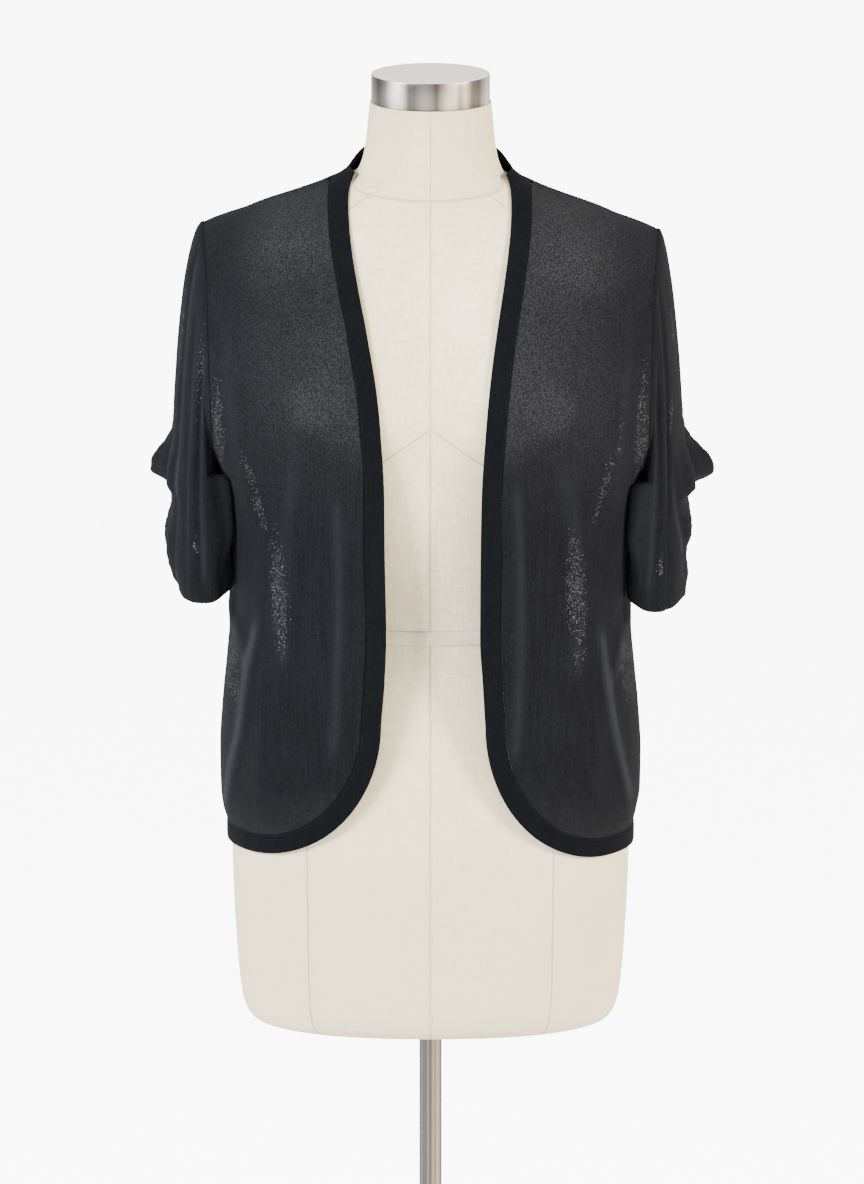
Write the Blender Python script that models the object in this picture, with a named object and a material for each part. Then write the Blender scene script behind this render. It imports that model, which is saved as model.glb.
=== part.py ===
"""A cropped, open-front knitted shrug with short gathered sleeves, worn by a limbless dress form.

The form has a steel neck cap and stands on a steel pole with a round foot plate.  Metres, +Z up,
the front faces -Y, and the origin is the middle of the foot plate's underside.  Left and right are
the wearer's, so the wearer's left is at +X.  Shapes are worked out for the left half first, where
across is the distance out from the middle, and are then set on either side.
"""

import functools
import math
from collections import namedtuple

import bmesh
import bpy
from mathutils import Vector


class Table:
    """Rows with named columns, read smoothly along the first column with no overshoot."""

    def __init__(self, columns, rows):
        self.columns = columns.split()
        self.rows = sorted(rows)
        self.at = [row[0] for row in self.rows]

    def slopes(self, values):
        steps = [b - a for a, b in zip(self.at, self.at[1:])]
        rates = [(b - a) / step for a, b, step in zip(values, values[1:], steps)]
        inner = [
            2 * before * after / (before + after) if before * after > 0 else 0.0
            for before, after in zip(rates, rates[1:])
        ]
        return [rates[0], *inner, rates[-1]]

    def read(self, column, at):
        values = [row[self.columns.index(column)] for row in self.rows]
        if at <= self.at[0]:
            return values[0]
        if at >= self.at[-1]:
            return values[-1]
        slopes = self.slopes(values)
        k = next(i for i, limit in enumerate(self.at[1:]) if at <= limit)
        step = self.at[k + 1] - self.at[k]
        t = (at - self.at[k]) / step
        start = (1 + 2 * t) * (1 - t) ** 2 * values[k] + t * (1 - t) ** 2 * step * slopes[k]
        end = t * t * (3 - 2 * t) * values[k + 1] + t * t * (t - 1) * step * slopes[k + 1]
        return start + end


# Clearance between solids that touch on the real object
GAP = 0.0003

# The stand
BASE_RADIUS = 0.180
BASE_HEIGHT = 0.010
BASE_BEVEL = 0.002
POLE_RADIUS = 0.0105

# The form
FORM_FOOT = 0.680
NECK_TOP = 1.5475
CAP_RADIUS = 0.0549
CAP_HEIGHT = 0.026
CAP_BEVEL = 0.0012

FORM_SECTIONS = Table("height half_width front back roundness", [
    (0.6800, 0.1580, 0.0980, 0.0980, 2.30),
    (0.6830, 0.1655, 0.1055, 0.1055, 2.30),
    (0.6900, 0.1715, 0.1115, 0.1120, 2.30),
    (0.7060, 0.1762, 0.1155, 0.1165, 2.30),
    (0.7600, 0.1812, 0.1190, 0.1220, 2.25),
    (0.8200, 0.1842, 0.1225, 0.1265, 2.20),
    (0.8600, 0.1848, 0.1238, 0.1265, 2.20),
    (0.9000, 0.1838, 0.1225, 0.1230, 2.20),
    (0.9500, 0.1760, 0.1160, 0.1120, 2.15),
    (1.0000, 0.1590, 0.1050, 0.0985, 2.10),
    (1.0350, 0.1460, 0.0980, 0.0905, 2.10),
    (1.0600, 0.1410, 0.0950, 0.0870, 2.10),
    (1.0900, 0.1425, 0.0965, 0.0880, 2.10),
    (1.1400, 0.1530, 0.1030, 0.0950, 2.15),
    (1.1900, 0.1690, 0.1120, 0.1035, 2.20),
    (1.2400, 0.1820, 0.1190, 0.1095, 2.20),
    (1.2850, 0.1885, 0.1230, 0.1125, 2.20),
    (1.3300, 0.1905, 0.1180, 0.1125, 2.15),
    (1.3700, 0.1910, 0.1080, 0.1070, 2.05),
    (1.4000, 0.1905, 0.0985, 0.1000, 1.95),
    (1.4200, 0.1890, 0.0915, 0.0940, 1.90),
    (1.4320, 0.1850, 0.0870, 0.0895, 1.85),
    (1.4400, 0.1760, 0.0830, 0.0855, 1.80),
    (1.4488, 0.1570, 0.0785, 0.0810, 1.80),
    (1.4593, 0.1260, 0.0730, 0.0755, 1.80),
    (1.4675, 0.1030, 0.0690, 0.0715, 1.85),
    (1.4723, 0.0915, 0.0670, 0.0695, 1.90),
    (1.4758, 0.0800, 0.0655, 0.0680, 1.95),
    (1.4785, 0.0731, 0.0645, 0.0668, 2.00),
    (1.4817, 0.0680, 0.0636, 0.0655, 2.00),
    (1.4880, 0.0648, 0.0625, 0.0640, 2.00),
    (1.4950, 0.0624, 0.0612, 0.0620, 2.00),
    (1.5050, 0.0605, 0.0600, 0.0602, 2.00),
    (1.5475, 0.0562, 0.0562, 0.0562, 2.00),
])

# The bust stands out from those sections as two soft mounds
BUST_RISE = 0.019
BUST_APART = 0.080
BUST_HEIGHT = 1.280
BUST_WIDTH = 0.056
BUST_TALL = 0.062

# Narrow tape round the waist
TAPE_TOP = 1.0670
TAPE_HEIGHT = 0.0133
TAPE_THICKNESS = 0.0010

# The shrug hangs a little lower on the wearer's left, as a slope across its width
LEAN = 0.016
LEAN_WEIGHTS = Table("height cloth form", [
    (0.850, 0.6, 0.0),
    (1.000, 1.0, 0.0),
    (1.080, 1.0, 0.0),
    (1.200, 1.0, 1.0),
    (1.470, 1.0, 1.0),
    (1.530, 0.0, 0.0),
])

# Wall thicknesses of the cloth, and how close its inside lies to the form where it rests
KNIT = 0.0016
BAND = 0.0024
REST_GAP = 0.0009
REST_GAP_OVER_BUST = 0.0016
REST_GAP_AT_NECK = 0.0012
NECK_FROM = 1.4580
NECK_TO = 1.4730
REST_RISE = 0.0006
REST_BLEND = 0.003

CLOTH_SECTIONS = Table("height half_width front back roundness", [
    (0.8505, 0.1872, 0.1280, 0.1315, 2.12),
    (0.8700, 0.1878, 0.1283, 0.1318, 2.20),
    (0.8820, 0.1902, 0.1290, 0.1322, 2.28),
    (0.9050, 0.1940, 0.1298, 0.1324, 2.38),
    (0.9400, 0.1945, 0.1306, 0.1320, 2.55),
    (0.9800, 0.1922, 0.1315, 0.1312, 2.70),
    (1.0200, 0.1884, 0.1325, 0.1298, 2.78),
    (1.0600, 0.1850, 0.1335, 0.1282, 2.82),
    (1.1000, 0.1850, 0.1345, 0.1262, 2.72),
    (1.1500, 0.1870, 0.1355, 0.1238, 2.65),
    (1.1650, 0.1878, 0.1358, 0.1230, 2.65),
    (1.1780, 0.1886, 0.1361, 0.1221, 2.65),
    (1.1900, 0.1896, 0.1364, 0.1212, 2.64),
    (1.1990, 0.1913, 0.1366, 0.1206, 2.63),
    (1.2035, 0.1938, 0.1367, 0.1203, 2.62),
    (1.2050, 0.1965, 0.1368, 0.1202, 2.62),
    (1.2088, 0.1983, 0.1368, 0.1200, 2.60),
    (1.2200, 0.2065, 0.1370, 0.1194, 2.53),
    (1.2379, 0.2176, 0.1370, 0.1186, 2.47),
    (1.2611, 0.2279, 0.1366, 0.1173, 2.38),
    (1.2882, 0.2372, 0.1348, 0.1160, 2.24),
    (1.3200, 0.2420, 0.1290, 0.1145, 2.15),
    (1.3600, 0.2430, 0.1150, 0.1105, 2.10),
    (1.3900, 0.2400, 0.1035, 0.1040, 2.00),
    (1.4100, 0.2310, 0.0955, 0.0980, 1.92),
    (1.4200, 0.2225, 0.0920, 0.0945, 1.88),
    (1.4295, 0.2085, 0.0885, 0.0910, 1.85),
    (1.4362, 0.1925, 0.0855, 0.0880, 1.82),
    (1.4424, 0.1745, 0.0820, 0.0845, 1.80),
    (1.4496, 0.1550, 0.0780, 0.0805, 1.80),
    (1.4600, 0.1230, 0.0720, 0.0745, 1.80),
    (1.4696, 0.0975, 0.0680, 0.0712, 1.86),
    (1.4733, 0.0890, 0.0666, 0.0703, 1.90),
    (1.4773, 0.0815, 0.0655, 0.0697, 1.95),
    (1.4818, 0.0757, 0.0648, 0.0691, 2.00),
    (1.4880, 0.0720, 0.0640, 0.0684, 2.00),
    (1.4950, 0.0695, 0.0632, 0.0678, 2.00),
    (1.5050, 0.0675, 0.0625, 0.0672, 2.00),
    (1.5300, 0.0662, 0.0620, 0.0666, 2.00),
])

# The open front edge, out from the middle on either side, down to where its corner starts to curve
FRONT_EDGE = Table("height right left", [
    (0.9850, 0.0455, 0.0505),
    (1.0300, 0.0420, 0.0478),
    (1.0700, 0.0407, 0.0455),
    (1.1500, 0.0420, 0.0460),
    (1.2050, 0.0425, 0.0470),
    (1.2600, 0.0456, 0.0505),
    (1.3000, 0.0496, 0.0540),
    (1.3300, 0.0545, 0.0575),
    (1.3600, 0.0602, 0.0620),
    (1.3900, 0.0664, 0.0668),
    (1.4200, 0.0717, 0.0710),
    (1.4470, 0.0747, 0.0737),
    (1.4620, 0.0753, 0.0740),
    (1.4700, 0.0746, 0.0736),
    (1.4772, 0.0722, 0.0718),
    (1.4838, 0.0690, 0.0690),
])
BAND_WIDTH = 0.0186
HEM = 0.8505
CORNER_TOP = 0.9850
CORNER_REACH = {"right": 0.125, "left": 0.115}

# The band's two edges where it leaves the shoulder line and rises round the back of the neck
BAND_NECK = Table("turn edge_height seam_height", [
    (0, 1.4838, 1.4731),
    (10, 1.4880, 1.4745),
    (25, 1.4963, 1.4779),
    (45, 1.5028, 1.4832),
    (70, 1.5052, 1.4865),
    (90, 1.5056, 1.4870),
])
# The front edge draws level with the seam below the shoulder line over this stretch, and the back
# panel's rows tilt up to the neck seam from here
BAND_LEVEL_FROM = 1.4500
NECK_RISE_FROM = 1.4362

# The armhole: a loop between the shoulder corner and the underarm
SHOULDER_CORNER = 1.4295
UNDERARM = 1.2050
ARMHOLE = Table("height across", [
    (1.2050, 0.1965),
    (1.2088, 0.1968),
    (1.2200, 0.1985),
    (1.2379, 0.1998),
    (1.2611, 0.2009),
    (1.2882, 0.2020),
    (1.3500, 0.2042),
    (1.4000, 0.2062),
    (1.4295, 0.2100),
])

# The sleeve's open end, a flattened loop, and how high it hangs round the loop
SLEEVE_MIDDLE = {"right": 0.2082, "left": 0.2060}
SLEEVE_HALF_WIDTH = 0.0300
SLEEVE_HALF_DEPTH = 0.0775
SLEEVE_ROUNDNESS = 2.60
SLEEVE_HEM = Table("turn right left", [
    (0, 1.1110, 1.0980),
    (30, 1.1010, 1.0940),
    (60, 1.0880, 1.0880),
    (90, 1.0865, 1.0848),
    (120, 1.0935, 1.0900),
    (150, 1.0995, 1.0985),
    (180, 1.1020, 1.1040),
])
# How far the cloth keeps the direction it leaves the armhole with, and hangs plumb at the hem
SLEEVE_FALL = Table("turn right left arriving", [
    (0, 0.088, 0.058, 0.200),
    (50, 0.058, 0.048, 0.170),
    (90, 0.048, 0.048, 0.140),
    (135, 0.042, 0.042, 0.110),
    (180, 0.026, 0.026, 0.080),
])
SLEEVE_TUCK = 0.10
# The sleeve's inner side lies against the body, this far off it once it has left the underarm
SLEEVE_CLEAR = 0.0018
SLEEVE_CLEAR_BY = 0.12
SLEEVE_PRESS_BLEND = 0.0020

# Puffs of the gathered outer seam: the cloth swells on both sides of the seam line and droops
GATHERS = ("side height front_rise back_rise above below", [
    ("right", 1.1935, 0.0060, 0.0225, 0.025, 0.007),
    ("right", 1.1300, 0.0060, 0.0090, 0.024, 0.020),
    ("left", 1.2000, 0.0105, 0.0290, 0.026, 0.008),
    ("left", 1.1590, 0.0060, 0.0055, 0.015, 0.014),
    ("left", 1.1000, 0.0030, 0.0045, 0.012, 0.010),
])
GATHER_TURN = 20
GATHER_SPREAD = 16
GATHER_DROOP = 0.030
GATHER_FLAT = 0.0035
# The puffs stand out mostly sideways: the larger the first and the smaller the second
GATHER_SIDEWAYS = 0.030
GATHER_ENDWAYS = 0.25
SEAM_PULL = 0.0030
SEAM_SPREAD = 7

# Folds of the body as straight runs between two points of the front or the back
FOLDS = ("side face across_top top across_bottom bottom rise width", [
    ("right", "front", 0.190, 1.085, 0.168, 1.030, 0.0030, 0.010),
    ("right", "front", 0.156, 1.090, 0.190, 0.880, 0.0035, 0.011),
    ("left", "front", 0.184, 1.070, 0.166, 1.010, 0.0030, 0.010),
    ("left", "front", 0.152, 1.085, 0.188, 0.870, 0.0035, 0.011),
    ("right", "front", 0.088, 1.215, 0.086, 0.930, 0.0025, 0.014),
    ("left", "front", 0.090, 1.225, 0.088, 0.940, 0.0025, 0.014),
    ("right", "back", 0.100, 1.300, 0.110, 0.900, 0.0035, 0.020),
    ("left", "back", 0.110, 1.290, 0.100, 0.890, 0.0035, 0.020),
    ("right", "back", 0.030, 1.270, 0.040, 0.890, 0.0025, 0.018),
    ("left", "back", 0.025, 1.240, 0.030, 0.900, 0.0025, 0.018),
])
FOLD_FADE_TURN = 22
FOLD_END = 0.030

# How finely the solids are cut
FORM_COLUMNS = 32
FRONT_COLUMNS = 10
BACK_COLUMNS = 16
SLEEVE_SHARES = [
    0, 0.03, 0.075, 0.13, 0.20, 0.28, 0.36, 0.44, 0.52, 0.59, 0.64, 0.68, 0.71, 0.74, 0.775,
    0.81, 0.85, 0.90, 0.95, 1,
]
ARMHOLE_STEPS = 12
CORNER_STEPS = 7
HEM_STEPS = 4
NECK_STEPS = 7
SHOULDER_HEIGHTS = [1.4723, 1.4692, 1.4650, 1.4590, 1.4515, 1.4440, 1.4362]
UNDERARM_HEIGHTS = [1.2035, 1.1990, 1.1905, 1.1790, 1.1650]
BODY_STEP = 0.0180
BACK_LOW_STEPS = 7
EVEN_SAMPLES = 48
CAP_COLUMNS = 40
POLE_COLUMNS = 24
BASE_COLUMNS = 56
# How near the points lie that a normal is read from: degrees and metres, wider at the underarm
NEAR_TURN = 1.0
NEAR_RISE = 0.003
NEAR_RISE_UNDERARM = 0.004
NEAR_UNDERARM = 0.015
# Shares of the sleeve's length over which its wall turns from the body's normal to its own
OWN_NORMAL_UNDERARM = 0.03
OWN_NORMAL_OUTSIDE = 0.25

Section = namedtuple("Section", "half_width front back roundness")


def clamp(value, low=0.0, high=1.0):
    return max(low, min(high, value))


def ease(value, start, end):
    """0 at start, 1 at end, level at both."""
    t = clamp((value - start) / (end - start))
    return t * t * (3 - 2 * t)


def rows_of(table):
    """The rows of a table as records with named fields."""
    columns, rows = table
    record = namedtuple("Row", columns)
    return [record(*row) for row in rows]


# The form


@functools.cache
def form_section(height):
    return Section(*(FORM_SECTIONS.read(name, height) for name in Section._fields))


def section_depth(section, across, behind):
    reach = section.back if behind else section.front
    left = 1 - (across / section.half_width) ** section.roundness
    return reach * max(left, 0.0) ** (1 / section.roundness)


def bust(across, height):
    sideways = (across - BUST_APART) / BUST_WIDTH
    upwards = (height - BUST_HEIGHT) / BUST_TALL
    return BUST_RISE * math.exp(-sideways**2 - upwards**2)


def form_depth(across, height, behind):
    """How far the form reaches to the front or back at this distance from the middle."""
    section = form_section(height)
    if across >= section.half_width:
        return 0.0
    depth = section_depth(section, across, behind)
    if behind:
        return depth
    return depth + bust(across, height) * (depth / section.front) ** 2


@functools.cache
def lean_weight(what, height):
    return LEAN_WEIGHTS.read(what, height)


def leaned(what, side, across, height):
    """Lowers the wearer's left and lifts the right."""
    sign = 1 if side == "left" else -1
    return height - LEAN * sign * across * lean_weight(what, height)


def section_point(section, turn):
    """Across and depth at a turn from -90 at the front through 0 at the side to 90 at the back."""
    angle = math.radians(abs(turn))
    reach = section.back if turn > 0 else section.front
    across = section.half_width * max(math.cos(angle), 0.0) ** (2 / section.roundness)
    depth = reach * math.sin(angle) ** (2 / section.roundness)
    return across, depth


def form_ring(height, columns, out=0.0):
    """Points round the form at one height, moved out from its surface."""
    ring = []
    for k in range(columns):
        angle = 360 * k / columns
        side = "left" if angle <= 90 or angle > 270 else "right"
        turn = angle if angle <= 90 else 180 - angle if angle <= 270 else angle - 360
        across, _ = section_point(form_section(height), turn)
        depth = form_depth(across, height, turn > 0) if abs(turn) > 0.01 else 0.0
        x = across if side == "left" else -across
        y = depth if turn > 0 else -depth
        flat = Vector((x, y, 0.0))
        flat += flat.normalized() * out
        z = leaned("form", side, across, height)
        ring.append(Vector((flat.x, flat.y, z)))
    return ring


# The body of the shrug


@functools.cache
def cloth_section(height):
    own = Section(*(CLOTH_SECTIONS.read(name, height) for name in Section._fields))
    seat = form_section(height - REST_RISE)
    wide = max(own.half_width, seat.half_width + REST_GAP)
    return Section(wide, own.front, own.back, own.roundness)


def soft_max(a, b, blend):
    """The larger of two numbers, rounded over where they are close."""
    if blend <= 0:
        return max(a, b)
    near = max(blend - abs(a - b), 0.0) / blend
    return max(a, b) + near * near * blend / 4


def fold_lift(side, behind, across, height, turn):
    """How far folds lift the cloth here, fading out at the side seam."""
    face = "back" if behind else "front"
    lift = 0.0
    for fold in rows_of(FOLDS):
        if fold.side != side or fold.face != face:
            continue
        t = (fold.top - height) / (fold.top - fold.bottom)
        line = fold.across_top + (fold.across_bottom - fold.across_top) * clamp(t)
        beyond = max(height - fold.top, fold.bottom - height, 0.0)
        share = math.exp(-((across - line) / fold.width) ** 2 - (beyond / FOLD_END) ** 2)
        lift += fold.rise * share
    return lift * ease(abs(turn), 0, FOLD_FADE_TURN)


def cloth_at(side, turn, height):
    """A point on the inside of the cloth, before it leans."""
    section = cloth_section(height)
    behind = turn > 0
    across, depth = section_point(section, turn)
    lift = fold_lift(side, behind, across, height, turn)
    reach = section.back if behind else section.front
    outward = Vector((across / section.half_width**2, depth / reach**2)).normalized()
    across += lift * outward.x
    depth += lift * outward.y
    rest = form_depth(across, height, behind)
    if rest > 0:
        blend = REST_BLEND * clamp(rest / 0.02)
        gap = REST_GAP * clamp(rest / 0.01)
        gap += REST_GAP_AT_NECK * ease(height, NECK_FROM, NECK_TO)
        if not behind:
            gap += REST_GAP_OVER_BUST * bust(across, height) / BUST_RISE
        depth = soft_max(depth, rest + gap, blend)
    return Vector((across, depth if behind else -depth, height))


def cloth_turn(height, across, behind):
    """The turn at which the cloth is this far from the middle."""
    section = cloth_section(height)
    ratio = clamp(across / section.half_width)
    turn = math.degrees(math.acos(ratio ** (section.roundness / 2)))
    return turn if behind else -turn


def cloth_normal(side, turn, height):
    """Outward direction of the cloth, from points close by on both sides."""
    close = math.exp(-(((height - UNDERARM) / NEAR_UNDERARM) ** 2))
    rise = NEAR_RISE + NEAR_RISE_UNDERARM * close
    along = cloth_at(side, turn + NEAR_TURN, height) - cloth_at(side, turn - NEAR_TURN, height)
    up = cloth_at(side, turn, height + rise) - cloth_at(side, turn, height - rise)
    return along.cross(up).normalized()


def placed(side, point):
    """A point of the cloth where it really lies."""
    x = point.x if side == "left" else -point.x
    return Vector((x, point.y, leaned("cloth", side, point.x, point.z)))


def placed_normal(side, normal):
    return Vector((normal.x if side == "left" else -normal.x, normal.y, normal.z))


# Lines that the pieces share


def armhole_height(angle):
    """Height round the armhole, from 0 degrees at the shoulder to 180 at the underarm."""
    middle = (SHOULDER_CORNER + UNDERARM) / 2
    return middle + (SHOULDER_CORNER - UNDERARM) / 2 * math.cos(math.radians(angle))


def outer_turn(height, behind):
    """Where a body panel ends at this height: shoulder seam, armhole or side seam."""
    if UNDERARM < height < SHOULDER_CORNER:
        return cloth_turn(height, ARMHOLE.read("across", height), behind)
    return 0.0


def seam_turn(side, height, inset):
    """The turn of a line on the front that runs beside the open edge, inset from it."""
    return cloth_turn(height, FRONT_EDGE.read(side, height) + inset, False)


def corner_point(side, angle, inset):
    """Across and height round the curved corner, inset from its outer edge."""
    start = FRONT_EDGE.read(side, CORNER_TOP) + inset
    across = start + (CORNER_REACH[side] - inset) * (1 - math.cos(math.radians(angle)))
    height = CORNER_TOP - (CORNER_TOP - HEM - inset) * math.sin(math.radians(angle))
    return across, height


def armhole_heights():
    return [armhole_height(180 * k / ARMHOLE_STEPS) for k in range(ARMHOLE_STEPS + 1)]


def body_heights():
    """Heights from just below the underarm down to where the front corner starts."""
    top = UNDERARM_HEIGHTS[-1]
    count = round((top - CORNER_TOP) / BODY_STEP)
    return UNDERARM_HEIGHTS + [top + (CORNER_TOP - top) * k / count for k in range(1, count + 1)]


def corner_line(side, inset):
    """(turn, height) pairs round the curved corner, inset from its outer edge."""
    line = []
    for k in range(1, CORNER_STEPS + 1):
        across, height = corner_point(side, 90 * k / CORNER_STEPS, inset)
        line.append((cloth_turn(height, across, False), height))
    return line


# Walls


def finish(name, colour, roughness, metallic):
    material = bpy.data.materials.new(name)
    material.use_nodes = True
    shader = material.node_tree.nodes["Principled BSDF"]
    shader.inputs["Base Color"].default_value = (*colour, 1.0)
    shader.inputs["Roughness"].default_value = roughness
    shader.inputs["Metallic"].default_value = metallic
    return material


def add_object(name, bm, material, sharp=math.radians(40)):
    bmesh.ops.recalc_face_normals(bm, faces=bm.faces)
    mesh = bpy.data.meshes.new(name)
    bm.to_mesh(mesh)
    bm.free()
    mesh.shade_smooth()
    mesh.set_sharp_from_angle(angle=sharp)
    mesh.materials.append(material)
    thing = bpy.data.objects.new(name, mesh)
    bpy.context.scene.collection.objects.link(thing)
    return thing


def add_wall(name, inside, normals, thickness, material, looped=False):
    """A closed wall from rows of points on its inside, thickened along the normals."""
    bm = bmesh.new()
    inner = [[bm.verts.new(point) for point in row] for row in inside]
    outer = [
        [bm.verts.new(point + normal * thickness) for point, normal in zip(row, line)]
        for row, line in zip(inside, normals)
    ]
    rows, columns = len(inner), len(inner[0])
    steps = columns if looped else columns - 1
    for r in range(rows - 1):
        for c in range(steps):
            d = (c + 1) % columns
            for layer in (inner, outer):
                add_quad(bm, layer[r][c], layer[r][d], layer[r + 1][d], layer[r + 1][c])
    for c in range(steps):
        d = (c + 1) % columns
        add_quad(bm, inner[0][c], inner[0][d], outer[0][d], outer[0][c])
        add_quad(bm, inner[-1][c], inner[-1][d], outer[-1][d], outer[-1][c])
    if not looped:
        for r in range(rows - 1):
            add_quad(bm, inner[r][0], inner[r + 1][0], outer[r + 1][0], outer[r][0])
            add_quad(bm, inner[r][-1], inner[r + 1][-1], outer[r + 1][-1], outer[r][-1])
    return add_object(name, bm, material)


def add_quad(bm, *corners):
    """Two triangles, so that a twisted quad has the same shape everywhere."""
    a, b, c, d = corners
    bm.faces.new((a, b, c))
    bm.faces.new((a, c, d))


def spaced(side, height, start, end, count):
    """Turns that share out the cloth between two turns evenly by length."""
    fine = EVEN_SAMPLES
    turns = [start + (end - start) * k / fine for k in range(fine + 1)]
    points = [cloth_at(side, turn, height) for turn in turns]
    run = [0.0]
    for before, after in zip(points, points[1:]):
        run.append(run[-1] + (after - before).length)
    result = []
    for k in range(count):
        target = run[-1] * k / (count - 1)
        i = next(j for j in range(1, fine + 1) if run[j] >= target - 1e-12)
        share = (target - run[i - 1]) / max(run[i] - run[i - 1], 1e-9)
        result.append(turns[i - 1] + (turns[i] - turns[i - 1]) * share)
    return result


def trimmed(line, before, after, amount):
    """Moves one edge point of a row away from its neighbour's edge by half a seam gap."""
    step = line[after] - line[before]
    line[before] = line[before] + step.normalized() * amount


def cloth_row(side, height, start, end, count):
    """One row of a front: its points and normals, trimmed for the seam at its outer end."""
    turns = spaced(side, height, start, end, count)
    points = [cloth_at(side, turn, height) for turn in turns]
    normals = [cloth_normal(side, turn, height) for turn in turns]
    trimmed(points, -1, -2, GAP / 2)
    return (
        [placed(side, point) for point in points],
        [placed_normal(side, normal) for normal in normals],
    )


def add_front(side, material):
    inset = BAND_WIDTH + GAP / 2
    heights = SHOULDER_HEIGHTS + armhole_heights() + body_heights()
    starts = [(seam_turn(side, height, inset), height) for height in heights]
    starts += corner_line(side, inset)
    inside, normals = [], []
    for start, height in starts:
        row, line = cloth_row(side, height, start, outer_turn(height, False), FRONT_COLUMNS)
        inside.append(row)
        normals.append(line)
    add_wall(f"front_{side}", inside, normals, KNIT, material)


def neck_height(column, turn):
    return BAND_NECK.read(column, turn)


def add_back(material):
    neck_side = neck_height("seam_height", 0)
    heights = [neck_side] + SHOULDER_HEIGHTS[1:] + armhole_heights() + body_heights()
    low = HEM + BAND_WIDTH + GAP / 2
    heights += [
        CORNER_TOP + (low - CORNER_TOP) * k / BACK_LOW_STEPS for k in range(1, BACK_LOW_STEPS + 1)
    ]
    inside, normals = [], []
    for height in heights:
        share = clamp((height - NECK_RISE_FROM) / (neck_side - NECK_RISE_FROM))
        row, line = [], []
        for side in ("right", "left"):
            end = outer_turn(height, True)
            turns = spaced(side, height, end, 90, BACK_COLUMNS // 2 + 1)
            points, directions = [], []
            for turn in turns:
                level = height + share * (neck_height("seam_height", turn) - neck_side)
                level -= share * GAP / 2
                points.append(cloth_at(side, turn, level))
                directions.append(cloth_normal(side, turn, level))
            trimmed(points, 0, 1, GAP / 2)
            points = [placed(side, point) for point in points]
            directions = [placed_normal(side, normal) for normal in directions]
            if side == "left":
                points.reverse()
                directions.reverse()
                points, directions = points[1:], directions[1:]
            row += points
            line += directions
        inside.append(row)
        normals.append(line)
    add_wall("back", inside, normals, KNIT, material)


def band_stations(side):
    """Pairs of (turn, height) for the band's outer edge and its seam, from neck to side seam."""
    inset = BAND_WIDTH - GAP / 2
    stations = []
    for k in range(NECK_STEPS):
        turn = 90 * (1 - k / NECK_STEPS)
        seam = neck_height("seam_height", turn) + GAP / 2
        stations.append(((turn, neck_height("edge_height", turn)), (turn, seam)))
    top = neck_height("seam_height", 0)
    rise = neck_height("edge_height", 0) - top
    for seam in [top] + SHOULDER_HEIGHTS + armhole_heights() + body_heights():
        edge = seam + rise * ease(seam, BAND_LEVEL_FROM, top)
        stations.append(((seam_turn(side, edge, 0), edge), (seam_turn(side, seam, inset), seam)))
    stations += zip(corner_line(side, 0), corner_line(side, inset))
    edge_start, seam_start = stations[-1][0][0], stations[-1][1][0]
    for k in range(1, HEM_STEPS + 1):
        left = 1 - k / HEM_STEPS
        stations.append(((edge_start * left, HEM), (seam_start * left, HEM + inset)))
    return stations


def band_rows(side, stations, columns=3):
    inside, normals = [], []
    for edge, seam in stations:
        points, line = [], []
        for c in range(columns):
            share = c / (columns - 1)
            turn = edge[0] + (seam[0] - edge[0]) * share
            height = edge[1] + (seam[1] - edge[1]) * share
            points.append(cloth_at(side, turn, height))
            line.append(cloth_normal(side, turn, height))
        inside.append([placed(side, point) for point in points])
        normals.append([placed_normal(side, normal) for normal in line])
    return inside, normals


def add_band(side, material):
    inside, normals = band_rows(side, band_stations(side))
    sign = 1 if side == "left" else -1
    for point in inside[0]:
        point.x = sign * GAP / 2
    for normal in normals[0]:
        normal.x = 0.0
        normal.normalize()
    for point in inside[-1]:
        point.y = -GAP / 2
    add_wall(f"band_{side}", inside, normals, BAND, material)


def add_back_hem(material):
    inside, normals = [], []
    for side in ("right", "left"):
        turns = [90 * k / BACK_COLUMNS * 2 for k in range(BACK_COLUMNS // 2 + 1)]
        stations = [((turn, HEM), (turn, HEM + BAND_WIDTH - GAP / 2)) for turn in turns]
        points, lines = band_rows(side, stations)
        for point in points[0]:
            point.y = GAP / 2
        if side == "left":
            points, lines = points[-2::-1], lines[-2::-1]
        inside += points
        normals += lines
    add_wall("hem_band_back", inside, normals, BAND, material)


# Sleeves


def armhole_point(side, angle):
    """Point and outward direction on the armhole; 0 to 180 runs down the front."""
    folded = angle % 360
    behind = folded > 180
    height = armhole_height(folded)
    turn = outer_turn(height, behind)
    return cloth_at(side, turn, height), cloth_normal(side, turn, height)


def sleeve_end(side, angle):
    radians = math.radians(angle)
    power = 2 / SLEEVE_ROUNDNESS
    wide = math.copysign(abs(math.cos(radians)) ** power, math.cos(radians))
    deep = math.copysign(abs(math.sin(radians)) ** power, math.sin(radians))
    down_turn = angle if angle <= 180 else 360 - angle
    return Vector((
        SLEEVE_MIDDLE[side] + SLEEVE_HALF_WIDTH * wide,
        -SLEEVE_HALF_DEPTH * deep,
        SLEEVE_HEM.read(side, down_turn),
    ))


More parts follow.
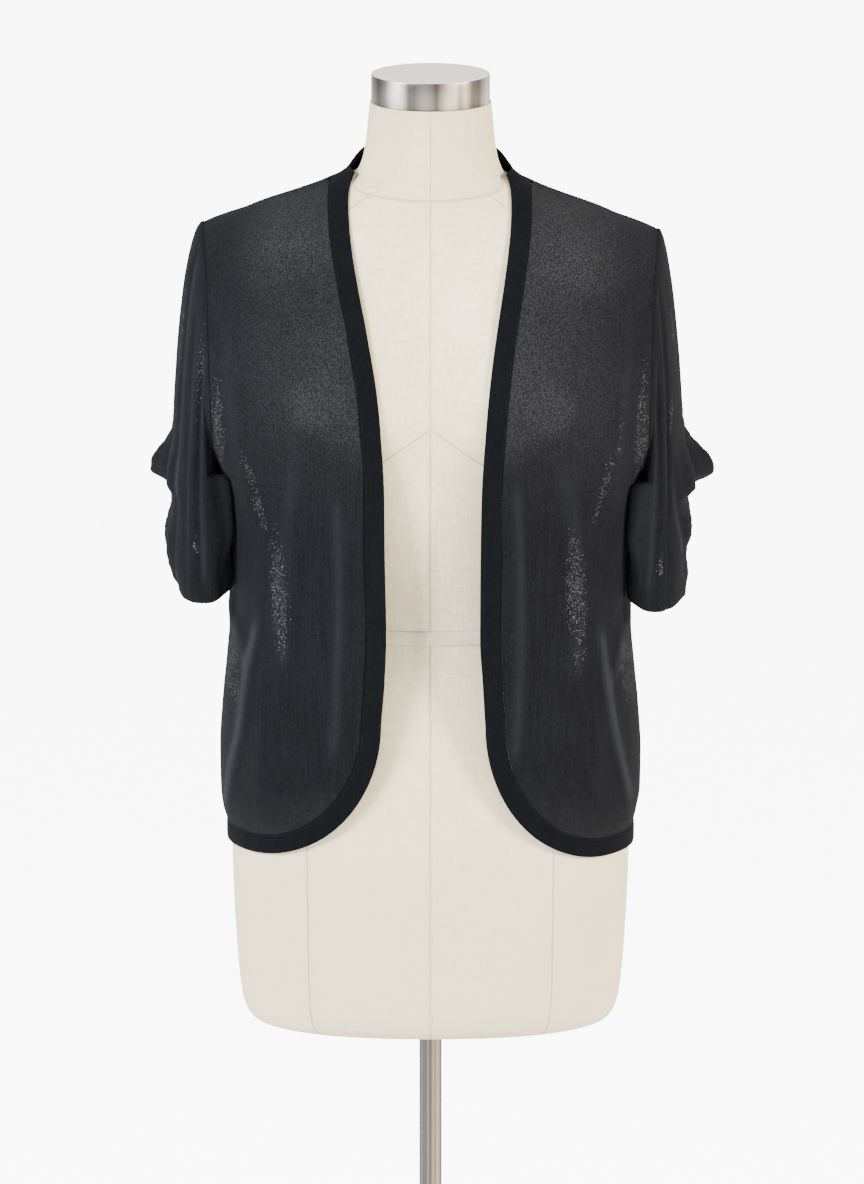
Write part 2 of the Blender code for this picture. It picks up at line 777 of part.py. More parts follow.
def gather_lift(side, angle, height):
    """How far the gathered seam's puffs stand out here."""
    from_seam = angle if angle <= 180 else angle - 360
    droop = GATHER_DROOP * (abs(from_seam) / 90) ** 2
    lift = 0.0
    for puff in rows_of(GATHERS):
        if puff.side != side:
            continue
        rise = height + droop - puff.height
        tall = puff.above if rise > 0 else puff.below
        swell = math.exp(-((max(abs(rise) - GATHER_FLAT, 0.0) / tall) ** 2))
        front = math.exp(-(((from_seam - GATHER_TURN) / GATHER_SPREAD) ** 2))
        back = math.exp(-(((from_seam + GATHER_TURN) / GATHER_SPREAD) ** 2))
        seam = math.exp(-((from_seam / SEAM_SPREAD) ** 2))
        lift += swell * (puff.front_rise * front + puff.back_rise * back)
        lift -= swell * SEAM_PULL * seam
    return lift


def body_side(depth, height):
    """How far out the body's outside is, this far to the front (negative) or back of its side."""
    section = cloth_section(height)
    reach = (section.back if depth > 0 else section.front) + KNIT
    left = 1 - min(abs(depth) / reach, 1.0) ** section.roundness
    return (section.half_width + KNIT) * left ** (1 / section.roundness)


def sleeve_at(side, angle, share):
    """A point on the outside of the sleeve, from 0 at the armhole to 1 at the open end."""
    down_turn = angle if angle <= 180 else 360 - angle
    start, normal = armhole_point(side, angle)
    start = start + normal * KNIT
    before, _ = armhole_point(side, angle - 2)
    after, _ = armhole_point(side, angle + 2)
    leaving = normal.cross(after - before).normalized()
    inward = Vector((0.0, -start.y, armhole_height(90) - start.z))
    if leaving.dot(inward) < 0:
        leaving.negate()
    if down_turn > 90:
        leaving.z = min(leaving.z, 0.0)
    end = sleeve_end(side, angle)
    outer = (1 + math.cos(math.radians(angle))) / 2
    arriving = Vector((-SLEEVE_TUCK * outer, 0.0, -1.0))
    s = share
    point = (1 + 2 * s) * (1 - s) ** 2 * start + s * s * (3 - 2 * s) * end
    point += s * (1 - s) ** 2 * SLEEVE_FALL.read(side, down_turn) * leaving
    point += s * s * (s - 1) * SLEEVE_FALL.read("arriving", down_turn) * arriving
    if down_turn > 90 and point.z < UNDERARM:
        clear = SLEEVE_CLEAR * ease(share, 0.0, SLEEVE_CLEAR_BY)
        blend = SLEEVE_PRESS_BLEND * ease(share, 0.0, SLEEVE_CLEAR_BY)
        point.x = soft_max(point.x, body_side(point.y, point.z) + clear, blend)
    lift = gather_lift(side, angle, point.z) * ease(share, 0.0, 0.3)
    out = point.x - SLEEVE_MIDDLE[side] + GATHER_SIDEWAYS
    outward = Vector((out, point.y * GATHER_ENDWAYS, 0.0)).normalized()
    return point + outward * lift


def sleeve_angles():
    front = [180 * k / ARMHOLE_STEPS for k in range(ARMHOLE_STEPS + 1)]
    return front + [360 - angle for angle in front[-2:0:-1]]


def add_sleeve(side, material):
    angles = sleeve_angles()
    rings = [[sleeve_at(side, angle, share) for angle in angles] for share in SLEEVE_SHARES]
    edge_normals = [armhole_point(side, angle)[1] for angle in angles]
    normals = [edge_normals]
    count = len(angles)
    for r in range(1, len(rings)):
        line = []
        below = min(r + 1, len(rings) - 1)
        for c in range(count):
            along = rings[r][(c + 1) % count] - rings[r][c - 1]
            down = rings[below][c] - rings[r - 1][c]
            outer = (1 + math.cos(math.radians(angles[c]))) / 2
            own = ease(SLEEVE_SHARES[r], 0.0, OWN_NORMAL_UNDERARM + OWN_NORMAL_OUTSIDE * outer)
            line.append(edge_normals[c].lerp(along.cross(down).normalized(), own).normalized())
        normals.append(line)
    for c in range(count):
        step = rings[1][c] - rings[0][c]
        rings[0][c] = rings[0][c] + step.normalized() * GAP
    inside = [
        [placed(side, point - normal * KNIT) for point, normal in zip(ring, line)]
        for ring, line in zip(rings, normals)
    ]
    lines = [[placed_normal(side, normal) for normal in line] for line in normals]
    add_wall(f"sleeve_{side}", inside, lines, KNIT, material, looped=True)


# Form and stand


def close_ends(bm, loops):
    for loop in loops:
        middle = sum((vert.co for vert in loop), Vector()) / len(loop)
        hub = bm.verts.new(middle)
        for a, b in zip(loop, loop[1:] + loop[:1]):
            bm.faces.new((a, b, hub))


def add_stack(name, rings, material, sharp=math.radians(40)):
    """A closed body from level rings of points, flat at both ends."""
    bm = bmesh.new()
    loops = [[bm.verts.new(point) for point in ring] for ring in rings]
    count = len(loops[0])
    for lower, upper in zip(loops, loops[1:]):
        for c in range(count):
            d = (c + 1) % count
            add_quad(bm, lower[c], lower[d], upper[d], upper[c])
    close_ends(bm, (loops[0], loops[-1]))
    return add_object(name, bm, material, sharp)


def add_turned(name, outline, columns, material):
    """A round body from (radius, height) pairs, bottom to top."""
    rings = []
    for radius, height in outline:
        turns = [2 * math.pi * k / columns for k in range(columns)]
        rings.append([Vector((radius * math.cos(t), radius * math.sin(t), height)) for t in turns])
    return add_stack(name, rings, material)


def form_heights():
    lower = [FORM_FOOT, 0.683, 0.690, 0.706, 0.740, 0.780, 0.820, 0.860, 0.900, 0.935, 0.965]
    waist = [0.995, 1.025, TAPE_TOP - TAPE_HEIGHT, TAPE_TOP]
    middle = [1.092, 1.120, 1.150, 1.180, 1.210, 1.235]
    upper = [1.258, 1.280, 1.302, 1.325, 1.350, 1.375, 1.398, 1.415, 1.427, 1.436, 1.444]
    neck = [1.4520, 1.4593, 1.4650, 1.4693, 1.4733, 1.4767, 1.4800, 1.4855, 1.4950, 1.5100]
    return lower + waist + middle + upper + neck + [NECK_TOP]


def add_form(material):
    rings = [form_ring(height, FORM_COLUMNS) for height in form_heights()]
    add_stack("form_torso", rings, material, math.radians(50))


def add_tape(material):
    bottom = TAPE_TOP - TAPE_HEIGHT
    inside = [form_ring(height, FORM_COLUMNS, GAP) for height in (bottom, TAPE_TOP)]
    outside = [
        form_ring(height, FORM_COLUMNS, GAP + TAPE_THICKNESS) for height in (bottom, TAPE_TOP)
    ]
    bm = bmesh.new()
    loops = [inside[0], inside[1], outside[1], outside[0]]
    verts = [[bm.verts.new(point) for point in loop] for loop in loops]
    for loop, following in zip(verts, verts[1:] + verts[:1]):
        for c in range(FORM_COLUMNS):
            d = (c + 1) % FORM_COLUMNS
            add_quad(bm, loop[c], loop[d], following[d], following[c])
    add_object("waist_tape", bm, material)


def add_cap(material):
    bottom = NECK_TOP + GAP
    top = bottom + CAP_HEIGHT
    outline = [
        (CAP_RADIUS, bottom),
        (CAP_RADIUS, top - CAP_BEVEL),
        (CAP_RADIUS - CAP_BEVEL, top),
    ]
    add_turned("neck_cap", outline, CAP_COLUMNS, material)


def add_pole(material):
    outline = [(POLE_RADIUS, BASE_HEIGHT + GAP), (POLE_RADIUS, FORM_FOOT - GAP)]
    add_turned("pole", outline, POLE_COLUMNS, material)


def add_base(material):
    outline = [
        (BASE_RADIUS - BASE_BEVEL / 2, 0.0),
        (BASE_RADIUS, BASE_BEVEL / 2),
        (BASE_RADIUS, BASE_HEIGHT - BASE_BEVEL),
        (BASE_RADIUS - BASE_BEVEL, BASE_HEIGHT),
    ]
    add_turned("base", outline, BASE_COLUMNS, material)


def main():
    for thing in list(bpy.data.objects):
        bpy.data.objects.remove(thing, do_unlink=True)
    knit = (0.0123, 0.0137, 0.0186)
    linen = (0.80, 0.77, 0.69)
    steel = (0.56, 0.55, 0.53)
    for side in ("right", "left"):
        add_front(side, finish(f"front_{side}_knit", knit, 0.90, 0.0))
        add_sleeve(side, finish(f"sleeve_{side}_knit", knit, 0.90, 0.0))
        add_band(side, finish(f"band_{side}_knit", knit, 0.92, 0.0))
    add_back(finish("back_knit", knit, 0.90, 0.0))
    add_back_hem(finish("hem_band_knit", knit, 0.92, 0.0))
    add_form(finish("form_linen", linen, 0.85, 0.0))
    add_tape(finish("waist_tape_linen", linen, 0.80, 0.0))
    add_cap(finish("cap_steel", steel, 0.32, 1.0))
    add_pole(finish("pole_steel", steel, 0.32, 1.0))
    add_base(finish("base_steel", steel, 0.38, 1.0))


main()
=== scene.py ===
# %% [markdown]
# A cropped knitted shrug on a dress form.
#
# The piece is a fine dark knit: two fronts and a back, two short sleeves that are gathered along
# their outer seam, and a doubled band that runs round the neck, down both front edges, round the
# lower corners and along the hem.  It hangs on a limbless linen form with a steel neck cap, on a
# steel pole and a round foot plate.
#
# The packed model gives the sizes and the places.  Here every piece of cloth is made again as a
# finer, thinner shell over its solid, so that folds and gathers can be placed one by one, and every
# surface gets a finish that is worked out by nodes.

# %% Load the packed model
import functools
import math
from collections import namedtuple

import bmesh
import bpy
import numpy as np
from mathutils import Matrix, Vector, noise


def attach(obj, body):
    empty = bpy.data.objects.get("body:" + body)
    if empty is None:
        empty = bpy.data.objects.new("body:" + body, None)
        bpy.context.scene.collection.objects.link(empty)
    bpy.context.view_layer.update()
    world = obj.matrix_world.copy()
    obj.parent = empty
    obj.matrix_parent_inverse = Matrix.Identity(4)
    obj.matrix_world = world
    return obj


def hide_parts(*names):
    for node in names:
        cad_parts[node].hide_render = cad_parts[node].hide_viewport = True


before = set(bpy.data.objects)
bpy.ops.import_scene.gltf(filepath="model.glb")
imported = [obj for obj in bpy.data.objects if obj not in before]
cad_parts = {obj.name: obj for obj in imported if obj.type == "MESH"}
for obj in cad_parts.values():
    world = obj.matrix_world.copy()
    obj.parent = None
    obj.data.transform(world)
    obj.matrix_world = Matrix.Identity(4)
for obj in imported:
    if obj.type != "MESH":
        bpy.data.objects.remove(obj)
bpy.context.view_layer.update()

print("nodes:", ", ".join(sorted(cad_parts)))

# %% [markdown]
# The camera stands far off and looks a little down, as for a catalogue picture, so a long lens is
# used and upright lines stay upright.  The picture is 864 by 1184, so the lens is worked out from
# the height that the picture has to take in.  A long lens was chosen over an orthographic camera
# because perspective, however slight, still narrows what is farther off.

# %% Camera
LOOK_AT = Vector((0.0, 0.0, 1.084))
CAMERA_DISTANCE = 14.0
CAMERA_ELEVATION = math.radians(12.2)
PICTURE_HEIGHT = 1.1005
PICTURE_PIXELS = 1184
SHIFT_PIXELS = 1.5
SENSOR = 36.0

camera_data = bpy.data.cameras.new("catalogue_camera")
camera_data.sensor_width = SENSOR
camera_data.lens = SENSOR * CAMERA_DISTANCE / PICTURE_HEIGHT
camera_data.clip_end = 200.0
camera = bpy.data.objects.new("catalogue_camera", camera_data)
bpy.context.scene.collection.objects.link(camera)
back_off = Vector((0.0, -math.cos(CAMERA_ELEVATION), math.sin(CAMERA_ELEVATION)))
camera.location = LOOK_AT + CAMERA_DISTANCE * back_off
camera.rotation_euler = (math.pi / 2 - CAMERA_ELEVATION, 0.0, 0.0)
camera_data.shift_x = SHIFT_PIXELS / PICTURE_PIXELS
bpy.context.scene.camera = camera
print(f"lens {camera_data.lens:.0f} mm at {CAMERA_DISTANCE} m")

# %% [markdown]
# The studio is a pale floor that runs far back, soft lights and a white surround.  The key light
# stands to the front and left, and a warmer one answers it from the right, so the linen turns from
# a cool to a warm cream across the form.  Two narrow upright lights stand at the sides for the
# steel.  A curved backdrop would do as well as the floor, but a flat floor that glows farther off
# is quicker to build and burns out to the same white.

# %% Floor
FLOOR_HALF = 40.0
FLOOR_CORNERS = [(-1, -1), (1, -1), (1, 1), (-1, 1)]
FLOOR_COLOUR = (0.93, 0.93, 0.925)
FLOOR_ROUGHNESS = 0.9
# The floor is lit from behind until it burns out to white, from this far off the form
WHITE_FROM = 0.9
WHITE_BY = 2.0
WHITE_GLOW = 8.0


def white_seen(tree, near, glow):
    """A glow that only the camera sees, so that it doesn't light the form from below."""
    path = tree.nodes.new("ShaderNodeLightPath")
    amount = tree.nodes.new("ShaderNodeMath")
    amount.operation = "MULTIPLY"
    amount.inputs[1].default_value = glow
    tree.links.new(path.outputs["Is Camera Ray"], amount.inputs[0])
    if near is None:
        return amount.outputs[0]
    share = tree.nodes.new("ShaderNodeMath")
    share.operation = "MULTIPLY"
    tree.links.new(amount.outputs[0], share.inputs[0])
    tree.links.new(near, share.inputs[1])
    return share.outputs[0]


def add_floor():
    mesh = bpy.data.meshes.new("floor")
    corners = [(x * FLOOR_HALF, y * FLOOR_HALF, 0.0) for x, y in FLOOR_CORNERS]
    mesh.from_pydata(corners, [], [(0, 1, 2, 3)])
    floor = bpy.data.objects.new("floor", mesh)
    bpy.context.scene.collection.objects.link(floor)
    material = bpy.data.materials.new("pale_floor")
    material.use_nodes = True
    shader = material.node_tree.nodes["Principled BSDF"]
    shader.inputs["Base Color"].default_value = (*FLOOR_COLOUR, 1.0)
    shader.inputs["Roughness"].default_value = FLOOR_ROUGHNESS
    tree = material.node_tree
    place = tree.nodes.new("ShaderNodeTexCoord").outputs["Object"]
    distance = tree.nodes.new("ShaderNodeVectorMath")
    distance.operation = "LENGTH"
    tree.links.new(place, distance.inputs[0])
    far = tree.nodes.new("ShaderNodeMapRange")
    far.interpolation_type = "SMOOTHSTEP"
    far.inputs["From Min"].default_value = WHITE_FROM
    far.inputs["From Max"].default_value = WHITE_BY
    tree.links.new(distance.outputs["Value"], far.inputs["Value"])
    tree.links.new(white_seen(tree, far.outputs["Result"], 1.0), shader.inputs["Emission Color"])
    shader.inputs["Emission Strength"].default_value = WHITE_GLOW
    mesh.materials.append(material)
    return floor


floor = add_floor()
print("floor:", 2 * FLOOR_HALF, "m wide")

# %% Lights
SURROUND = (1.0, 1.0, 1.0)
SURROUND_STRENGTH = 0.80

LIGHTS = ("name place size_x size_y power colour", [
    ("key", (-3.6, -3.3, 3.7), 1.8, 1.8, 740.0, (1.0, 0.985, 0.955)),
    ("fill", (4.4, -2.5, 3.2), 1.3, 1.3, 640.0, (1.0, 0.89, 0.74)),
    ("streak_left", (-2.6, -1.2, 1.8), 0.25, 3.2, 36.0, (0.97, 0.98, 1.0)),
    ("streak_right", (2.4, -1.6, 1.8), 0.20, 3.2, 26.0, (1.0, 0.95, 0.88)),
])


def rows_of(table):
    """The rows of a table as records with named fields."""
    columns, rows = table
    record = namedtuple("Row", columns)
    return [record(*row) for row in rows]


def add_light(light):
    data = bpy.data.lights.new(light.name, "AREA")
    data.shape = "RECTANGLE"
    data.size = light.size_x
    data.size_y = light.size_y
    data.energy = light.power
    data.color = light.colour
    lamp = bpy.data.objects.new(light.name, data)
    bpy.context.scene.collection.objects.link(lamp)
    lamp.location = light.place
    towards = LOOK_AT - Vector(light.place)
    lamp.rotation_euler = towards.to_track_quat("-Z", "Y").to_euler()


for light in rows_of(LIGHTS):
    add_light(light)

world = bpy.data.worlds.new("white_surround")
world.use_nodes = True
background = world.node_tree.nodes["Background"]
background.inputs["Color"].default_value = (*SURROUND, 1.0)
background.inputs["Strength"].default_value = SURROUND_STRENGTH
# Where the camera looks past the floor, it sees the same white as on the floor
strength = world.node_tree.nodes.new("ShaderNodeMath")
strength.operation = "ADD"
strength.inputs[0].default_value = SURROUND_STRENGTH
world.node_tree.links.new(white_seen(world.node_tree, None, WHITE_GLOW), strength.inputs[1])
world.node_tree.links.new(strength.outputs[0], background.inputs["Strength"])
bpy.context.scene.world = world
print("lights:", len(LIGHTS[1]))

# %% [markdown]
# Patterns of cloth are cut from a few measures, and so is this one.  A table holds one measure in
# each column, such as the half width of the body at a height, and is read smoothly in between.
# This keeps the shapes easy to change, where a sculpted mesh would have to be sculpted again.

# %% A table that is read smoothly
class Table:
    """Rows with named columns, read smoothly along the first column with no overshoot."""

    def __init__(self, columns, rows):
        self.columns = columns.split()
        self.rows = sorted(rows)
        self.at = [row[0] for row in self.rows]

    def slopes(self, values):
        steps = [b - a for a, b in zip(self.at, self.at[1:])]
        rates = [(b - a) / step for a, b, step in zip(values, values[1:], steps)]
        inner = [
            2 * before * after / (before + after) if before * after > 0 else 0.0
            for before, after in zip(rates, rates[1:])
        ]
        return [rates[0], *inner, rates[-1]]

    def read(self, column, at):
        values = [row[self.columns.index(column)] for row in self.rows]
        if at <= self.at[0]:
            return values[0]
        if at >= self.at[-1]:
            return values[-1]
        slopes = self.slopes(values)
        k = next(i for i, limit in enumerate(self.at[1:]) if at <= limit)
        step = self.at[k + 1] - self.at[k]
        t = (at - self.at[k]) / step
        start = (1 + 2 * t) * (1 - t) ** 2 * values[k] + t * (1 - t) ** 2 * step * slopes[k]
        end = t * t * (3 - 2 * t) * values[k + 1] + t * t * (t - 1) * step * slopes[k + 1]
        return start + end


def clamp(value, low=0.0, high=1.0):
    return max(low, min(high, value))


def ease(value, start, end):
    """0 at start, 1 at end, level at both."""
    t = clamp((value - start) / (end - start))
    return t * t * (3 - 2 * t)


print("1, 2 and 4, read halfway to 2:", Table("at value", [(0, 1), (1, 2), (2, 4)]).read("value", 0.5))

# %% [markdown]
# The form comes first, because the cloth takes its shape from it.  It is a stack of level outlines,
# each a rounded oval with its own half width and reach to the front and back, and the bust is two
# soft mounds on top.  The shrug and the form's shoulders lean a little to the wearer's left.

# %% Sizes of the form and the stand
BASE_RADIUS = 0.180
BASE_HEIGHT = 0.010
BASE_BEVEL = 0.002
POLE_RADIUS = 0.0105
FORM_FOOT = 0.680
NECK_TOP = 1.5475
CAP_RADIUS = 0.0549
CAP_HEIGHT = 0.026
CAP_BEVEL = 0.0012
GAP = 0.0003
FORM_SECTIONS = Table("height half_width front back roundness", [
    (0.6800, 0.1580, 0.0980, 0.0980, 2.30),
    (0.6830, 0.1655, 0.1055, 0.1055, 2.30),
    (0.6900, 0.1715, 0.1115, 0.1120, 2.30),
    (0.7060, 0.1762, 0.1155, 0.1165, 2.30),
    (0.7600, 0.1812, 0.1190, 0.1220, 2.25),
    (0.8200, 0.1842, 0.1225, 0.1265, 2.20),
    (0.8600, 0.1848, 0.1238, 0.1265, 2.20),
    (0.9000, 0.1838, 0.1225, 0.1230, 2.20),
    (0.9500, 0.1760, 0.1160, 0.1120, 2.15),
    (1.0000, 0.1590, 0.1050, 0.0985, 2.10),
    (1.0350, 0.1460, 0.0980, 0.0905, 2.10),
    (1.0600, 0.1410, 0.0950, 0.0870, 2.10),
    (1.0900, 0.1425, 0.0965, 0.0880, 2.10),
    (1.1400, 0.1530, 0.1030, 0.0950, 2.15),
    (1.1900, 0.1690, 0.1120, 0.1035, 2.20),
    (1.2400, 0.1820, 0.1190, 0.1095, 2.20),
    (1.2850, 0.1885, 0.1230, 0.1125, 2.20),
    (1.3300, 0.1905, 0.1180, 0.1125, 2.15),
    (1.3700, 0.1910, 0.1080, 0.1070, 2.05),
    (1.4000, 0.1905, 0.0985, 0.1000, 1.95),
    (1.4200, 0.1890, 0.0915, 0.0940, 1.90),
    (1.4320, 0.1850, 0.0870, 0.0895, 1.85),
    (1.4400, 0.1760, 0.0830, 0.0855, 1.80),
    (1.4488, 0.1570, 0.0785, 0.0810, 1.80),
    (1.4593, 0.1260, 0.0730, 0.0755, 1.80),
    (1.4675, 0.1030, 0.0690, 0.0715, 1.85),
    (1.4723, 0.0915, 0.0670, 0.0695, 1.90),
    (1.4758, 0.0800, 0.0655, 0.0680, 1.95),
    (1.4785, 0.0731, 0.0645, 0.0668, 2.00),
    (1.4817, 0.0680, 0.0636, 0.0655, 2.00),
    (1.4880, 0.0648, 0.0625, 0.0640, 2.00),
    (1.4950, 0.0624, 0.0612, 0.0620, 2.00),
    (1.5050, 0.0605, 0.0600, 0.0602, 2.00),
    (1.5475, 0.0562, 0.0562, 0.0562, 2.00),
])
BUST_RISE = 0.019
BUST_APART = 0.080
BUST_HEIGHT = 1.280
BUST_WIDTH = 0.056
BUST_TALL = 0.062
TAPE_TOP = 1.0670
TAPE_HEIGHT = 0.0133
LEAN = 0.016
LEAN_WEIGHTS = Table("height cloth form", [
    (0.850, 0.6, 0.0),
    (1.000, 1.0, 0.0),
    (1.080, 1.0, 0.0),
    (1.200, 1.0, 1.0),
    (1.470, 1.0, 1.0),
    (1.530, 0.0, 0.0),
])
print(f"form: {NECK_TOP - FORM_FOOT:.3f} m tall, its foot {FORM_FOOT:.3f} m off the floor")

# %% Outline of the form at a height
Section = namedtuple("Section", "half_width front back roundness")


@functools.cache
def form_section(height):
    return Section(*(FORM_SECTIONS.read(name, height) for name in Section._fields))


def section_depth(section, across, behind):
    reach = section.back if behind else section.front
    left = 1 - (across / section.half_width) ** section.roundness
    return reach * max(left, 0.0) ** (1 / section.roundness)


def bust(across, height):
    sideways = (across - BUST_APART) / BUST_WIDTH
    upwards = (height - BUST_HEIGHT) / BUST_TALL
    return BUST_RISE * math.exp(-sideways**2 - upwards**2)


def form_depth(across, height, behind):
    """How far the form reaches to the front or back at this distance from the middle."""
    section = form_section(height)
    if across >= section.half_width:
        return 0.0
    depth = section_depth(section, across, behind)
    if behind:
        return depth
    return depth + bust(across, height) * (depth / section.front) ** 2


@functools.cache
def lean_weight(what, height):
    return LEAN_WEIGHTS.read(what, height)


def leaned(what, side, across, height):
    """Lowers the wearer's left and lifts the right."""
    sign = 1 if side == "left" else -1
    return height - LEAN * sign * across * lean_weight(what, height)


def section_point(section, turn):
    """Across and depth at a turn from -90 at the front through 0 at the side to 90 at the back."""
    angle = math.radians(abs(turn))
    reach = section.back if turn > 0 else section.front
    across = section.half_width * max(math.cos(angle), 0.0) ** (2 / section.roundness)
    depth = reach * math.sin(angle) ** (2 / section.roundness)
    return across, depth


print("half width at the bust:", round(form_section(BUST_HEIGHT).half_width, 4), "m")

# %% [markdown]
# Everything that is sewn here is a grid of points: rows across the cloth, columns down it.  One
# helper turns such a grid into a mesh and lays the texture coordinates out in real metres along the
# cloth, so that a stitch is the same size everywhere.  Unwrapping by hand would stretch some of
# them.

# %% Mesh from a grid of points
def lengths_along(points, axis):
    steps = np.linalg.norm(np.diff(points, axis=axis), axis=2)
    start = np.zeros_like(np.take(steps, [0], axis=axis))
    return np.concatenate([start, np.cumsum(steps, axis=axis)], axis=axis)


def grid_faces(rows, columns, looped):
    steps = columns if looped else columns - 1
    faces = []
    for r in range(rows - 1):
        for c in range(steps):
            d = (c + 1) % columns
            upper, lower = r * columns, (r + 1) * columns
            faces.append((upper + c, lower + c, lower + d, upper + d))
    return faces


def grid_object(name, points, looped=False, across=None, down=None, flip=False):
    """A mesh from points[row, column], with across and down as its texture coordinates."""
    rows, columns, _ = points.shape
    across = lengths_along(points, 1) if across is None else across
    down = lengths_along(points, 0) if down is None else down
    faces = grid_faces(rows, columns, looped)
    if flip:
        faces = [face[::-1] for face in faces]
    mesh = bpy.data.meshes.new(name)
    mesh.from_pydata(points.reshape(-1, 3).tolist(), [], faces)
    mesh.shade_smooth()
    layer = mesh.uv_layers.new(name="cloth")
    corner_points = np.zeros(len(mesh.loops), dtype=np.int32)
    mesh.loops.foreach_get("vertex_index", corner_points)
    u = across.reshape(-1)[corner_points].copy()
    v = down.reshape(-1)[corner_points]
    if looped:
        corners = corner_points.reshape(-1, 4) % columns
        wraps = (corners.max(axis=1) == columns - 1) & (corners.min(axis=1) == 0)
        seam_width = across[:, -1] + np.linalg.norm(points[:, 0] - points[:, -1], axis=1)
        row_of = corner_points // columns
        last = wraps[:, None] & (corners == 0)
        u = np.where(last.reshape(-1), seam_width[row_of], u)
    layer.data.foreach_set("uv", np.stack([u, v], axis=1).astype(np.float32).reshape(-1))
    thing = bpy.data.objects.new(name, mesh)
    bpy.context.scene.collection.objects.link(thing)
    return thing


def grid_normals(points, looped=False):
    """Directions square to the grid, taken from neighbouring points."""
    if looped:
        along = np.roll(points, -1, axis=1) - np.roll(points, 1, axis=1)
    else:
        along = np.gradient(points, axis=1)
    down = np.gradient(points, axis=0)
    normals = np.cross(along, down)
    return normals / np.maximum(np.linalg.norm(normals, axis=2, keepdims=True), 1e-12)


def put_attribute(thing, name, values):
    """One number for each point of the mesh, for a material to read."""
    attribute = thing.data.attributes.new(name, "FLOAT", "POINT")
    attribute.data.foreach_set("value", np.asarray(values, dtype=np.float32).reshape(-1))


def mend(thing, columns=None, merge=0.0):
    """Closes the first and last row of the grid or merges its ends, and turns all faces outwards."""
    bm = bmesh.new()
    bm.from_mesh(thing.data)
    bm.verts.ensure_lookup_table()
    if columns:
        for start in (0, len(bm.verts) - columns):
            bm.faces.new([bm.verts[start + k] for k in range(columns)])
    if merge:
        bmesh.ops.remove_doubles(bm, verts=bm.verts, dist=merge)
    bmesh.ops.recalc_face_normals(bm, faces=bm.faces)
    bm.to_mesh(thing.data)
    bm.free()


print("3 rows of 4 points have", len(grid_faces(3, 4, False)), "faces")

# %% The linen body of the form
FORM_COLUMNS = 144
FORM_ROWS = 190
FOOT_ROWS = 14
FOOT_BEND = 0.012
SHOULDER_ROWS = 50
SHOULDER_BEND = (1.425, 1.495)
SHARP_EDGE = math.radians(50)


def form_turn(k):
    """Turn and side for one of the columns round the form, from the wearer's left side."""
    angle = 360 * k / FORM_COLUMNS
    if angle <= 90:
        return angle, "left"
    if angle <= 270:
        return 180 - angle, "right"
    return angle - 360, "left"


def form_point(k, height, out=0.0):
    turn, side = form_turn(k)
    across, _ = section_point(form_section(height), turn)
    depth = form_depth(across, height, turn > 0) if abs(turn) > 0.01 else 0.0
    flat = Vector((across if side == "left" else -across, depth if turn > 0 else -depth, 0.0))
    flat += flat.normalized() * out
    return flat.x, flat.y, leaned("form", side, across, height)


def form_rows():
    """Heights from foot to neck, closer together where the form curves fast."""
    share = np.linspace(0.0, 1.0, FORM_ROWS)
    even = FORM_FOOT + (NECK_TOP - FORM_FOOT) * share
    lower = FORM_FOOT + FOOT_BEND * np.linspace(0.0, 1.0, FOOT_ROWS) ** 2
    shoulder = np.linspace(*SHOULDER_BEND, SHOULDER_ROWS)
    return sorted(set(np.round(np.concatenate([even, lower, shoulder]), 6).tolist()))


def add_form():
    heights = form_rows()
    points = np.array([[form_point(k, height) for k in range(FORM_COLUMNS)] for height in heights])
    turn_along = np.tile(np.arange(FORM_COLUMNS) / FORM_COLUMNS, (len(heights), 1))
    down = np.tile(np.array(heights)[:, None], (1, FORM_COLUMNS))
    form = grid_object("linen_form", points, looped=True, across=turn_along, down=down)
    mend(form, columns=FORM_COLUMNS)
    form.data.set_sharp_from_angle(angle=SHARP_EDGE)
    return form


form = add_form()
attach(form, "root")
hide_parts("form_torso")
print("form:", len(form.data.polygons), "faces")

# %% [markdown]
# The shrug hangs from the shoulders, rests on the bust and the hips and stands off at the waist.
# Its body is again a stack of level outlines, and wherever the form reaches farther out, the cloth
# takes the form's depth.  That one rule seats the cloth without any simulation, so it can never
# sink into the linen.

